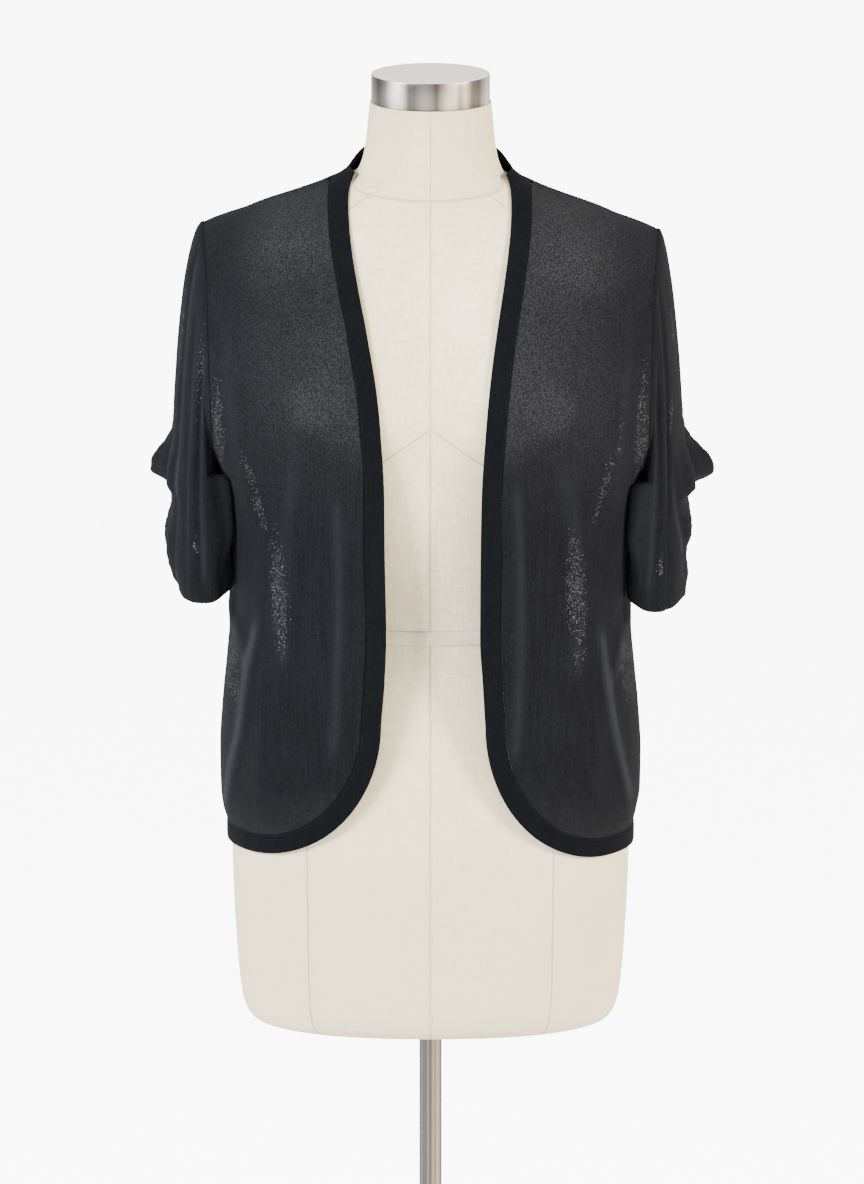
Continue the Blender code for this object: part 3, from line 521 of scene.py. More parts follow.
# %% Sizes of the shrug
KNIT = 0.0016
BAND = 0.0024
REST_GAP = 0.0009
REST_GAP_OVER_BUST = 0.0016
REST_GAP_AT_NECK = 0.0012
NECK_FROM = 1.4580
NECK_TO = 1.4730
REST_RISE = 0.0006
REST_BLEND = 0.003
CLOTH_SECTIONS = Table("height half_width front back roundness", [
    (0.8505, 0.1872, 0.1280, 0.1315, 2.12),
    (0.8700, 0.1878, 0.1283, 0.1318, 2.20),
    (0.8820, 0.1902, 0.1290, 0.1322, 2.28),
    (0.9050, 0.1940, 0.1298, 0.1324, 2.38),
    (0.9400, 0.1945, 0.1306, 0.1320, 2.55),
    (0.9800, 0.1922, 0.1315, 0.1312, 2.70),
    (1.0200, 0.1884, 0.1325, 0.1298, 2.78),
    (1.0600, 0.1850, 0.1335, 0.1282, 2.82),
    (1.1000, 0.1850, 0.1345, 0.1262, 2.72),
    (1.1500, 0.1870, 0.1355, 0.1238, 2.65),
    (1.1650, 0.1878, 0.1358, 0.1230, 2.65),
    (1.1780, 0.1886, 0.1361, 0.1221, 2.65),
    (1.1900, 0.1896, 0.1364, 0.1212, 2.64),
    (1.1990, 0.1913, 0.1366, 0.1206, 2.63),
    (1.2035, 0.1938, 0.1367, 0.1203, 2.62),
    (1.2050, 0.1965, 0.1368, 0.1202, 2.62),
    (1.2088, 0.1983, 0.1368, 0.1200, 2.60),
    (1.2200, 0.2065, 0.1370, 0.1194, 2.53),
    (1.2379, 0.2176, 0.1370, 0.1186, 2.47),
    (1.2611, 0.2279, 0.1366, 0.1173, 2.38),
    (1.2882, 0.2372, 0.1348, 0.1160, 2.24),
    (1.3200, 0.2420, 0.1290, 0.1145, 2.15),
    (1.3600, 0.2430, 0.1150, 0.1105, 2.10),
    (1.3900, 0.2400, 0.1035, 0.1040, 2.00),
    (1.4100, 0.2310, 0.0955, 0.0980, 1.92),
    (1.4200, 0.2225, 0.0920, 0.0945, 1.88),
    (1.4295, 0.2085, 0.0885, 0.0910, 1.85),
    (1.4362, 0.1925, 0.0855, 0.0880, 1.82),
    (1.4424, 0.1745, 0.0820, 0.0845, 1.80),
    (1.4496, 0.1550, 0.0780, 0.0805, 1.80),
    (1.4600, 0.1230, 0.0720, 0.0745, 1.80),
    (1.4696, 0.0975, 0.0680, 0.0712, 1.86),
    (1.4733, 0.0890, 0.0666, 0.0703, 1.90),
    (1.4773, 0.0815, 0.0655, 0.0697, 1.95),
    (1.4818, 0.0757, 0.0648, 0.0691, 2.00),
    (1.4880, 0.0720, 0.0640, 0.0684, 2.00),
    (1.4950, 0.0695, 0.0632, 0.0678, 2.00),
    (1.5050, 0.0675, 0.0625, 0.0672, 2.00),
    (1.5300, 0.0662, 0.0620, 0.0666, 2.00),
])
FRONT_EDGE = Table("height right left", [
    (0.9850, 0.0455, 0.0505),
    (1.0300, 0.0420, 0.0478),
    (1.0700, 0.0407, 0.0455),
    (1.1500, 0.0420, 0.0460),
    (1.2050, 0.0425, 0.0470),
    (1.2600, 0.0456, 0.0505),
    (1.3000, 0.0496, 0.0540),
    (1.3300, 0.0545, 0.0575),
    (1.3600, 0.0602, 0.0620),
    (1.3900, 0.0664, 0.0668),
    (1.4200, 0.0717, 0.0710),
    (1.4470, 0.0747, 0.0737),
    (1.4620, 0.0753, 0.0740),
    (1.4700, 0.0746, 0.0736),
    (1.4772, 0.0722, 0.0718),
    (1.4838, 0.0690, 0.0690),
])
BAND_WIDTH = 0.0186
HEM = 0.8505
CORNER_TOP = 0.9850
CORNER_REACH = {"right": 0.125, "left": 0.115}
BAND_NECK = Table("turn edge_height seam_height", [
    (0, 1.4838, 1.4731),
    (10, 1.4880, 1.4745),
    (25, 1.4963, 1.4779),
    (45, 1.5028, 1.4832),
    (70, 1.5052, 1.4865),
    (90, 1.5056, 1.4870),
])
BAND_LEVEL_FROM = 1.4500
NECK_RISE_FROM = 1.4362
SHOULDER_CORNER = 1.4295
UNDERARM = 1.2050
ARMHOLE = Table("height across", [
    (1.2050, 0.1965),
    (1.2088, 0.1968),
    (1.2200, 0.1985),
    (1.2379, 0.1998),
    (1.2611, 0.2009),
    (1.2882, 0.2020),
    (1.3500, 0.2042),
    (1.4000, 0.2062),
    (1.4295, 0.2100),
])
SHOULDER_TOP = 1.4723
NEAR_TURN = 1.0
NEAR_RISE = 0.003
NEAR_RISE_UNDERARM = 0.004
NEAR_UNDERARM = 0.015
print("neck to hem at the side:", round(BAND_NECK.read("edge_height", 0) - HEM, 3), "m")

# %% A point of the cloth's inside
CALM_REACH = 0.024
CALM_STEPS = 8
CALM_TURN = 34


@functools.cache
def cloth_section(height):
    own = Section(*(CLOTH_SECTIONS.read(name, height) for name in Section._fields))
    seat = form_section(height - REST_RISE)
    wide = max(own.half_width, seat.half_width + REST_GAP)
    return Section(wide, own.front, own.back, own.roundness)


def soft_max(a, b, blend):
    """The larger of two numbers, rounded over where they are close."""
    if blend <= 0:
        return max(a, b)
    near = max(blend - abs(a - b), 0.0) / blend
    return max(a, b) + near * near * blend / 4


@functools.cache
def calm_section(height):
    """The outline averaged over a stretch of heights, as the cloth hangs away from the side."""
    shifts = [CALM_REACH * (2 * k / CALM_STEPS - 1) for k in range(CALM_STEPS + 1)]
    near = [cloth_section(round(height + shift, 6)) for shift in shifts]
    return Section(*(sum(values) / len(values) for values in zip(*near)))


def calm_depth(across, height, turn, depth):
    """Keeps the arch under the arm at the side, and lets the front and back hang smooth."""
    weight = ease(abs(turn), 0, CALM_TURN) * ease(height, HEM, HEM + 0.06)
    weight *= 1 - ease(height, UNDERARM + 0.04, UNDERARM + 0.09)
    calm = calm_section(height)
    if weight <= 0 or across >= calm.half_width:
        return depth
    return depth + weight * (section_depth(calm, across, turn > 0) - depth)


def cloth_at(turn, height):
    """A point on the inside of the cloth, before it leans."""
    section = cloth_section(height)
    behind = turn > 0
    across, depth = section_point(section, turn)
    depth = calm_depth(across, height, turn, depth)
    rest = form_depth(across, height, behind)
    if rest > 0:
        blend = REST_BLEND * clamp(rest / 0.02)
        gap = REST_GAP * clamp(rest / 0.01)
        gap += REST_GAP_AT_NECK * ease(height, NECK_FROM, NECK_TO)
        if not behind:
            gap += REST_GAP_OVER_BUST * bust(across, height) / BUST_RISE
        depth = soft_max(depth, rest + gap, blend)
    return Vector((across, depth if behind else -depth, height))


def cloth_turn(height, across, behind):
    """The turn at which the cloth is this far from the middle."""
    section = cloth_section(height)
    ratio = clamp(across / section.half_width)
    turn = math.degrees(math.acos(ratio ** (section.roundness / 2)))
    return turn if behind else -turn


def cloth_normal(turn, height):
    """Outward direction of the cloth, from points close by on both sides."""
    close = math.exp(-(((height - UNDERARM) / NEAR_UNDERARM) ** 2))
    rise = NEAR_RISE + NEAR_RISE_UNDERARM * close
    along = cloth_at(turn + NEAR_TURN, height) - cloth_at(turn - NEAR_TURN, height)
    up = cloth_at(turn, height + rise) - cloth_at(turn, height - rise)
    return along.cross(up).normalized()


print("the cloth's side at the waist:", round(cloth_at(0, TAPE_TOP).x, 4), "m from the middle")

# %% [markdown]
# Pieces that are sewn together have to agree on where they meet.  So each seam is one line, given
# once, and both of its pieces ask for it.  Drawing every piece on its own would leave slits.

# %% Lines that the pieces share
def armhole_height(angle):
    """Height round the armhole, from 0 degrees at the shoulder to 180 at the underarm."""
    middle = (SHOULDER_CORNER + UNDERARM) / 2
    return middle + (SHOULDER_CORNER - UNDERARM) / 2 * math.cos(math.radians(angle))


def outer_turn(height, behind):
    """Where a body panel ends at this height: shoulder seam, armhole or side seam."""
    if UNDERARM < height < SHOULDER_CORNER:
        return cloth_turn(height, ARMHOLE.read("across", height), behind)
    return 0.0


def seam_turn(side, height, inset):
    """The turn of a line on the front that runs beside the open edge, inset from it."""
    return cloth_turn(height, FRONT_EDGE.read(side, height) + inset, False)


def corner_point(side, angle, inset):
    """Across and height round the curved corner, inset from its outer edge."""
    start = FRONT_EDGE.read(side, CORNER_TOP) + inset
    across = start + (CORNER_REACH[side] - inset) * (1 - math.cos(math.radians(angle)))
    height = CORNER_TOP - (CORNER_TOP - HEM - inset) * math.sin(math.radians(angle))
    return across, height


def neck_height(column, turn):
    return BAND_NECK.read(column, turn)


EVEN_SAMPLES = 48


def spaced(height, start, end, count):
    """Turns that share out the cloth between two turns evenly by length."""
    fine = EVEN_SAMPLES
    turns = [start + (end - start) * k / fine for k in range(fine + 1)]
    points = [cloth_at(turn, height) for turn in turns]
    run = [0.0]
    for before, after in zip(points, points[1:]):
        run.append(run[-1] + (after - before).length)
    result = []
    for k in range(count):
        target = run[-1] * k / (count - 1)
        i = next(j for j in range(1, fine + 1) if run[j] >= target - 1e-12)
        share = (target - run[i - 1]) / max(run[i] - run[i - 1], 1e-9)
        result.append(turns[i - 1] + (turns[i] - turns[i - 1]) * share)
    return result


print("armhole:", round(armhole_height(0) - armhole_height(180), 3), "m deep")

# %% [markdown]
# The folds are what make the knit look worn rather than moulded.  Each is a soft ridge along a few
# points of the front or the back, given as distance from the middle and height.  A fold fades in and
# out along its length, and it only ever lifts the cloth, so the cloth stays clear of the form.
# Small uneven swells keep the stretches between the folds from looking pressed.

# %% Folds of the body
Fold = namedtuple("Fold", "rise width points")

FRONT_FOLDS = {
    "right": [
        Fold(0.0034, 0.0050, [(0.187, 1.086), (0.181, 1.070), (0.174, 1.047), (0.168, 1.028)]),
        Fold(0.0036, 0.0048, [
            (0.156, 1.094), (0.161, 1.057), (0.168, 1.024), (0.175, 0.966),
            (0.183, 0.927), (0.187, 0.893), (0.188, 0.867),
        ]),
        Fold(0.0026, 0.0080, [
            (0.086, 1.217), (0.084, 1.141), (0.084, 1.065),
            (0.087, 0.988), (0.093, 0.930),
        ]),
        Fold(0.0022, 0.0110, [(0.121, 1.244), (0.133, 1.165), (0.136, 1.088), (0.134, 1.013)]),
        Fold(0.0018, 0.0075, [(0.188, 1.374), (0.183, 1.303), (0.177, 1.237), (0.168, 1.167)]),
        Fold(0.0014, 0.0070, [(0.157, 1.439), (0.135, 1.388), (0.121, 1.336)]),
        Fold(0.0016, 0.0080, [(0.157, 0.999), (0.160, 0.941), (0.157, 0.888)]),
    ],
    "left": [
        Fold(0.0034, 0.0050, [(0.179, 1.081), (0.173, 1.046), (0.165, 1.016)]),
        Fold(0.0036, 0.0048, [
            (0.153, 1.092), (0.159, 1.035), (0.163, 1.007), (0.169, 0.970),
            (0.175, 0.940), (0.181, 0.910), (0.183, 0.883),
        ]),
        Fold(0.0026, 0.0080, [
            (0.078, 1.230), (0.082, 1.144), (0.083, 1.067),
            (0.080, 0.991), (0.076, 0.933),
        ]),
        Fold(0.0022, 0.0110, [(0.120, 1.248), (0.132, 1.170), (0.133, 1.093), (0.130, 1.008)]),
        Fold(0.0018, 0.0075, [(0.184, 1.380), (0.180, 1.309), (0.174, 1.243), (0.163, 1.174)]),
        Fold(0.0014, 0.0070, [(0.158, 1.439), (0.137, 1.392), (0.122, 1.340)]),
        Fold(0.0016, 0.0080, [(0.154, 1.005), (0.156, 0.947), (0.150, 0.888)]),
    ],
}
BACK_FOLDS = {
    "right": [
        Fold(0.0040, 0.014, [(0.150, 1.260), (0.110, 1.180), (0.096, 1.090), (0.104, 0.960)]),
        Fold(0.0032, 0.010, [(0.176, 1.130), (0.150, 1.060), (0.156, 0.980), (0.178, 0.890)]),
        Fold(0.0028, 0.013, [(0.060, 1.320), (0.040, 1.200), (0.044, 1.050), (0.036, 0.920)]),
        Fold(0.0016, 0.009, [(0.172, 1.390), (0.130, 1.330), (0.110, 1.270)]),
    ],
    "left": [
        Fold(0.0036, 0.015, [(0.156, 1.240), (0.120, 1.160), (0.102, 1.070), (0.112, 0.950)]),
        Fold(0.0034, 0.010, [(0.172, 1.120), (0.146, 1.050), (0.160, 0.970), (0.176, 0.900)]),
        Fold(0.0030, 0.014, [(0.050, 1.300), (0.026, 1.170), (0.032, 1.040), (0.024, 0.930)]),
        Fold(0.0018, 0.009, [(0.180, 1.380), (0.140, 1.320), (0.118, 1.250)]),
    ],
}

# %% How a fold lifts the cloth
FOLD_FADE = 0.030
FOLD_AT_ENDS = 0.15
# Fold rise at which the painted highlight on a fold top is full
RIDGE_HIGHLIGHT_FULL = 0.0036
SWELL_RISE = 0.0009
SWELL_SIZE = 0.045


def fold_lift(folds, across, height):
    """Rise of the cloth over arrays of points, from all the folds near them."""
    lift = np.zeros_like(across)
    for fold in folds:
        points = np.array(fold.points)
        steps = np.linalg.norm(np.diff(points, axis=0), axis=1)
        reach = np.concatenate([[0.0], np.cumsum(steps)])
        share = np.zeros_like(across)
        for k, step in enumerate(steps):
            a, b = points[k], points[k + 1]
            direction = (b - a) / step
            along = (across - a[0]) * direction[0] + (height - a[1]) * direction[1]
            held = np.clip(along, 0.0, step)
            beside = across - a[0] - held * direction[0]
            above = height - a[1] - held * direction[1]
            gap = np.hypot(beside, above)
            run = reach[k] + held
            fade = np.minimum(run, reach[-1] - run) / FOLD_FADE
            fade = FOLD_AT_ENDS + (1 - FOLD_AT_ENDS) * np.clip(fade, 0.0, 1.0)
            share = np.maximum(share, fade * np.exp(-((gap / fold.width) ** 2)))
        lift += fold.rise * share
    return lift


def ridge_highlight_share(folds, points):
    """0 between the folds to 1 along the top of the highest, where a highlight is painted on the fold
    top.
    """
    return np.clip(fold_lift(folds, points[..., 0], points[..., 2]) / RIDGE_HIGHLIGHT_FULL, 0.0, 1.0)


def swell(points, seed):
    """Slow uneven lift, the same on every run."""
    flat = points.reshape(-1, 3)
    lift = [noise.noise(Vector(point) / SWELL_SIZE + Vector((seed, 0.0, 0.0))) for point in flat]
    return (0.5 + 0.5 * np.array(lift)).reshape(points.shape[:2]) * SWELL_RISE


print("folds:", sum(len(side) for folds in (FRONT_FOLDS, BACK_FOLDS) for side in folds.values()))

# %% From a side's points to the real place
def leaned_points(points, side):
    """Sets points[row, column] on their own side and lets them hang lower on the wearer's left."""
    result = points.copy()
    sign = 1 if side == "left" else -1
    heights = points[..., 2]
    weights = np.array([lean_weight("cloth", round(float(h), 5)) for h in heights.reshape(-1)])
    result[..., 2] = heights - LEAN * sign * points[..., 0] * weights.reshape(heights.shape)
    result[..., 0] = sign * points[..., 0]
    return result


def outward(points, looped=False):
    """Grid normals turned to point away from the middle of the body."""
    normals = grid_normals(points, looped)
    middle = points.shape[0] // 2, points.shape[1] // 2
    away = points[middle] - np.array([0.0, 0.0, points[middle][2]])
    return normals if normals[middle].dot(away) > 0 else -normals


# %% [markdown]
# A front is cut from the shoulder seam down to the hem band, between the band along its open edge
# and the armhole or side seam.  Its rows are level, and below the waist they start along the curve
# of the rounded corner.  The back is two such halves in one piece.  Each becomes a shell of one
# thickness, a little thinner than its solid and in the middle of it.

# %% Rows of the body
FRONT_COLUMNS = 64
BACK_COLUMNS = 60
SHEET_THICKNESS = 0.0008


def armhole_heights(steps=64):
    return [armhole_height(180 * k / steps) for k in range(steps + 1)]


def stepped(start, end, count):
    """Heights from just past start to end."""
    return [start + (end - start) * k / count for k in range(1, count + 1)]


ARCH_FOOT = 1.165


def arch_heights(count=12):
    """Heights close together where the cloth arches in under the arm."""
    return [UNDERARM - (UNDERARM - ARCH_FOOT) * (k / count) ** 1.8 for k in range(1, count + 1)]


def upper_heights():
    shoulder = stepped(SHOULDER_TOP, SHOULDER_CORNER, 16)[:-1]
    return [SHOULDER_TOP] + shoulder + armhole_heights()


def lower_heights():
    return arch_heights() + stepped(ARCH_FOOT, CORNER_TOP, 40)


CORNER_ROWS = 34


def corner_line(side, inset):
    """(turn, height) pairs round the curved corner, inset from its outer edge."""
    line = []
    for k in range(1, CORNER_ROWS + 1):
        across, height = corner_point(side, 90 * k / CORNER_ROWS, inset)
        line.append((cloth_turn(height, across, False), height))
    return line


def front_grid(side):
    heights = upper_heights() + lower_heights()
    starts = [(seam_turn(side, height, BAND_WIDTH), height) for height in heights]
    starts += corner_line(side, BAND_WIDTH)
    rows = []
    for start, height in starts:
        turns = spaced(height, start, outer_turn(height, False), FRONT_COLUMNS)
        rows.append([cloth_at(turn, height) for turn in turns])
    return np.array(rows)


def back_grid():
    neck_side = neck_height("seam_height", 0)
    heights = upper_heights() + lower_heights() + stepped(CORNER_TOP, HEM + BAND_WIDTH, CORNER_ROWS)
    heights[0] = neck_side
    rows = []
    for height in heights:
        share = clamp((height - NECK_RISE_FROM) / (neck_side - NECK_RISE_FROM))
        row = []
        for turn in spaced(height, outer_turn(height, True), 90, BACK_COLUMNS):
            level = height + share * (neck_height("seam_height", turn) - neck_side)
            row.append(cloth_at(turn, level))
        rows.append(row)
    return np.array(rows)


print("a front has", len(upper_heights() + lower_heights()) + CORNER_ROWS, "rows")

# %% [markdown]
# Where the knit is stretched its gaps open and light comes through, and where it lies on the linen
# the lit pale form shows; that light is painted into the knit's colour, with painted shade on the
# fronts towards the armhole.  Both are told to the material as one number at each point.  A painted
# mask would do the same, but numbers worked out from the shape stay right when the shape is changed.

# %% Sheer places, and painted light and shade of the fronts
# Each sheer place is a leaf: middle across and high, half width and height, tilt and strength
SHEER_FRONT = {
    "right": [
        (0.161, 1.197, 0.005, 0.035, 0.29, 0.8),
        (0.138, 1.105, 0.008, 0.059, 0.06, 0.95),
        (0.184, 1.025, 0.008, 0.038, 0.10, 0.8),
        (0.194, 1.243, 0.005, 0.057, 0.04, 0.9),
    ],
    "left": [
        (0.159, 1.209, 0.004, 0.034, 0.26, 0.75),
        (0.173, 1.256, 0.002, 0.028, 0.05, 0.35),
        (0.133, 1.104, 0.009, 0.063, -0.04, 0.95),
        (0.181, 1.024, 0.008, 0.029, -0.12, 0.75),
        (0.194, 1.256, 0.006, 0.064, 0.04, 0.9),
    ],
}
# Places over the chest and the bust, where the front is drawn flat over the form, painted paler as the
# lit linen shows through
PAINTED_PALE_FRONT = [
    (0.146, 1.418, 0.062, 0.034, 0.0, 0.34),
    (0.104, 1.284, 0.030, 0.025, 0.0, 0.34),
]
# The whole upper front is painted a little paler than the rest, as painted light, from this height to
# this one
UPPER_FROM = (1.150, 1.330)
UPPER_PAINTED_LIGHT = 0.27
# Towards the armhole the front turns away from the light, and painted shade makes it as dark as the
# sleeve
SIDE_FROM = (0.135, 0.190)
SIDE_PAINTED_SHADE = 0.60
NEAR_FORM = 0.016
NEAR_PAINTED_LIGHT = 0.34


def painted_through_light(points):
    """1 where the cloth lies on the linen, so that the lit pale form is painted as showing through,
    0 from a few millimetres off it."""
    gaps = np.zeros(points.shape[:2])
    for r, row in enumerate(points):
        for c, (across, depth, height) in enumerate(row):
            rest = form_depth(min(across, 0.3), height, depth > 0)
            gaps[r, c] = abs(depth) - rest if rest > 0 else 1.0
    return np.clip(1.0 - (gaps - REST_GAP) / NEAR_FORM, 0.0, 1.0)


def patch_mask(patches, across, height):
    """1 inside leaf-shaped places where the stretched knit lets light through, fading to 0."""
    mask = np.zeros_like(across)
    for x, z, half_x, half_z, tilt, strength in patches:
        u = (across - x) - tilt * (height - z)
        gap = (u / half_x) ** 2 + ((height - z) / half_z) ** 2
        mask = np.maximum(mask, strength * np.clip(1.35 - gap, 0.0, 1.0))
    return mask


def ease_all(values, start, end):
    """The same as ease, for an array."""
    t = np.clip((values - start) / (end - start), 0.0, 1.0)
    return t * t * (3 - 2 * t)


def painted_light_front(points):
    """Painted light of a front: paler over the form, in the pale places and above the waist, and painted
    shade towards the armhole.
    """
    across, height = points[..., 0], points[..., 2]
    upper = UPPER_PAINTED_LIGHT * ease_all(height, *UPPER_FROM)
    places = np.maximum(NEAR_PAINTED_LIGHT * painted_through_light(points), patch_mask(PAINTED_PALE_FRONT, across, height))
    return (upper + (1 - upper) * places) * (1 - SIDE_PAINTED_SHADE * ease_all(across, *SIDE_FROM))


print("sheer places on the fronts:", sum(len(places) for places in SHEER_FRONT.values()))

# %% Fronts and back
# The folds fade out at the side seam, over this much depth
SIDE_CALM = 0.02


def finish_sheet(thing, thickness=SHEET_THICKNESS):
    shell = thing.modifiers.new("thickness", "SOLIDIFY")
    shell.thickness = thickness
    shell.offset = 0.0
    shell.use_even_offset = False
    shell.use_rim = True


def seat_and_fold(points, folds, seed):
    """Moves the inside points out to the middle of the wall, with the folds and swells added."""
    normals = outward(points)
    across, height = points[..., 0], points[..., 2]
    edge = np.minimum(1.0, np.abs(points[..., 1]) / SIDE_CALM)
    lift = fold_lift(folds, across, height) * edge
    lift += swell(points, seed) * edge
    return points + normals * (KNIT / 2 + lift)[..., None]


def add_front(side, seed):
    inside = front_grid(side)
    points = leaned_points(seat_and_fold(inside, FRONT_FOLDS[side], seed), side)
    front = grid_object(f"front_{side}_knit", points, flip=side == "left")
    put_attribute(front, "sheer", patch_mask(SHEER_FRONT[side], inside[..., 0], inside[..., 2]))
    put_attribute(front, "painted_through_light", painted_light_front(inside))
    # The ridge number is the painted highlight along the fold tops
    put_attribute(front, "ridge", ridge_highlight_share(FRONT_FOLDS[side], inside))
    finish_sheet(front)
    return front


def add_back(seed):
    inside = back_grid()
    near = NEAR_PAINTED_LIGHT * painted_through_light(inside)
    halves, ridge_highlights = [], []
    for side in ("right", "left"):
        ridge_highlights.append(ridge_highlight_share(BACK_FOLDS[side], inside))
        folded = seat_and_fold(inside, BACK_FOLDS[side], seed)
        folded[:, -1, 0] = 0.0
        halves.append(leaned_points(folded, side))
    middle = (halves[0][:, -1:] + halves[1][:, -1:]) / 2
    points = np.concatenate([halves[0][:, :-1], middle, halves[1][:, -2::-1]], axis=1)
    back = grid_object("back_knit", points, flip=True)
    put_attribute(back, "sheer", np.zeros(points.shape[:2]))
    put_attribute(back, "painted_through_light", np.concatenate([near, near[:, -2::-1]], axis=1))
    # The ridge number is the painted highlight along the fold tops
    put_attribute(back, "ridge", np.concatenate([ridge_highlights[0], ridge_highlights[1][:, -2::-1]], axis=1))
    finish_sheet(back)
    return back


front_right = add_front("right", 1.0)
front_left = add_front("left", 5.0)
back = add_back(9.0)
body = (front_right, front_left, back)
print("fronts and back:", sum(len(piece.data.polygons) for piece in body), "faces")

# %% [markdown]
# The band is knitted double, so it is thicker than the rest and has a round folded edge.  Its cross
# section is a flat tube: crowned outside, plain inside, round at the open edge and drawn in where it
# is linked to the cloth.  Sweeping that small outline along the edge gives a band that catches the
# light as a real one does, which a flat strip would not.

# %% Bands
BandPoint = namedtuple("BandPoint", "share lift")
BAND_PROFILE = [BandPoint(*pair) for pair in (
    (0.000, 0.55), (0.010, 0.80), (0.040, 0.96), (0.100, 1.03), (0.250, 1.06), (0.450, 1.05),
    (0.650, 1.03), (0.820, 0.99), (0.900, 0.90), (0.940, 0.72), (0.965, 0.86), (0.985, 0.82),
    (1.000, 0.58), (0.990, 0.30), (0.900, 0.16), (0.500, 0.12), (0.100, 0.10), (0.010, 0.26),
)]
NECK_ROWS = 40
HEM_ROWS = 26


def band_stations(side):
    """Pairs of (turn, height) for the band's outer edge and its seam, from neck to side seam."""
    stations = []
    for k in range(NECK_ROWS):
        turn = 90 * (1 - k / NECK_ROWS)
        edge, seam = neck_height("edge_height", turn), neck_height("seam_height", turn)
        stations.append(((turn, edge), (turn, seam)))
    top = neck_height("seam_height", 0)
    rise = neck_height("edge_height", 0) - top
    for seam in [top] + upper_heights() + lower_heights():
        edge = seam + rise * ease(seam, BAND_LEVEL_FROM, top)
        outer, inner = seam_turn(side, edge, 0), seam_turn(side, seam, BAND_WIDTH)
        stations.append(((outer, edge), (inner, seam)))
    stations += zip(corner_line(side, 0), corner_line(side, BAND_WIDTH))
    edge_start, seam_start = stations[-1][0][0], stations[-1][1][0]
    for k in range(1, HEM_ROWS + 1):
        left = 1 - k / HEM_ROWS
        stations.append(((edge_start * left, HEM), (seam_start * left, HEM + BAND_WIDTH)))
    return stations


print("a band is laid out from", len(band_stations("right")), "cross sections")

# %% The outline along a band
def band_frame(stations, columns=5):
    """Inside points and outward directions across the band at each station."""
    shares = np.linspace(0.0, 1.0, columns)
    points, normals = [], []
    for edge, seam in stations:
        row, line = [], []
        for share in shares:
            turn = edge[0] + (seam[0] - edge[0]) * share
            height = edge[1] + (seam[1] - edge[1]) * share
            row.append(cloth_at(turn, height))
            line.append(cloth_normal(turn, height))
        points.append(row)
        normals.append(line)
    return shares, np.array(points), np.array(normals)


def band_surface(stations):
    """The band's closed outline at each station."""
    shares, points, normals = band_frame(stations)
    rows = []
    for row, line in zip(points, normals):
        outline = []
        for mark in BAND_PROFILE:
            at = np.array([np.interp(mark.share, shares, row[:, axis]) for axis in range(3)])
            out = np.array([np.interp(mark.share, shares, line[:, axis]) for axis in range(3)])
            outline.append(at + out / np.linalg.norm(out) * BAND * mark.lift)
        rows.append(outline)
    return np.array(rows)


# %% Three bands
HEM_COLUMNS = 60


def band_mesh(name, points, stations_run):
    """Closes the band's two ends and lays out how far along and across it each point lies."""
    count = len(BAND_PROFILE)
    across = np.tile(np.array([mark.share for mark in BAND_PROFILE]) * BAND_WIDTH, (len(points), 1))
    down = np.tile(stations_run[:, None], (1, count))
    band = grid_object(name, points, looped=True, across=across, down=down)
    layer = band.data.uv_layers["cloth"].data
    for face in band.data.polygons:
        marks = [layer[corner].uv.x for corner in face.loop_indices]
        if max(marks) - min(marks) > BAND_WIDTH:
            for corner in face.loop_indices:
                layer[corner].uv.x = min(layer[corner].uv.x, BAND_WIDTH)
    mend(band, columns=count)
    return band


def run_along(points):
    middle = points[:, len(BAND_PROFILE) // 4]
    steps = np.linalg.norm(np.diff(middle, axis=0), axis=1)
    return np.concatenate([[0.0], np.cumsum(steps)])


def add_band(side):
    points = band_surface(band_stations(side))
    points[0, :, 0] = 0.0
    points[-1, :, 1] = 0.0
    points = leaned_points(points, side)
    return band_mesh(f"band_{side}_double_knit", points, run_along(points))


def add_back_hem():
    turns = [90 * k / HEM_COLUMNS for k in range(HEM_COLUMNS + 1)]
    stations = [((turn, HEM), (turn, HEM + BAND_WIDTH)) for turn in turns]
    halves = []
    for side in ("right", "left"):
        points = band_surface(stations)
        points[0, :, 1] = 0.0
        points[-1, :, 0] = 0.0
        halves.append(leaned_points(points, side))
    points = np.concatenate([halves[0], halves[1][-2::-1]], axis=0)
    return band_mesh("hem_band_back_double_knit", points, run_along(points))


band_right = add_band("right")
band_left = add_band("left")
hem_band_back = add_back_hem()
bands = (band_right, band_left, hem_band_back)
print("bands:", sum(len(piece.data.polygons) for piece in bands), "faces")

# %% [markdown]
# A sleeve starts at the armhole and falls to a flattened open end.  Each of its lengthwise threads is
# a curve that leaves the armhole in the direction of the body's cloth and hangs plumb at the hem.
# The outer seam is gathered on a thread, so the cloth swells in uneven puffs on both sides of it.

# %% Sizes of the sleeves
SLEEVE_MIDDLE = {"right": 0.2082, "left": 0.2060}
SLEEVE_HALF_WIDTH = 0.0300
SLEEVE_HALF_DEPTH = 0.0775
SLEEVE_ROUNDNESS = 2.60
SLEEVE_HEM = Table("turn right left", [
    (0, 1.1110, 1.0980),
    (30, 1.1010, 1.0940),
    (60, 1.0880, 1.0880),
    (90, 1.0865, 1.0848),
    (120, 1.0935, 1.0900),
    (150, 1.0995, 1.0985),
    (180, 1.1020, 1.1040),
])
SLEEVE_FALL = Table("turn right left arriving", [
    (0, 0.088, 0.058, 0.200),
    (50, 0.058, 0.048, 0.170),
    (90, 0.048, 0.048, 0.140),
    (135, 0.042, 0.042, 0.110),
    (180, 0.026, 0.026, 0.080),
])
SLEEVE_TUCK = 0.10
SLEEVE_CLEAR = 0.0018
SLEEVE_CLEAR_BY = 0.12
SLEEVE_PRESS_BLEND = 0.0020
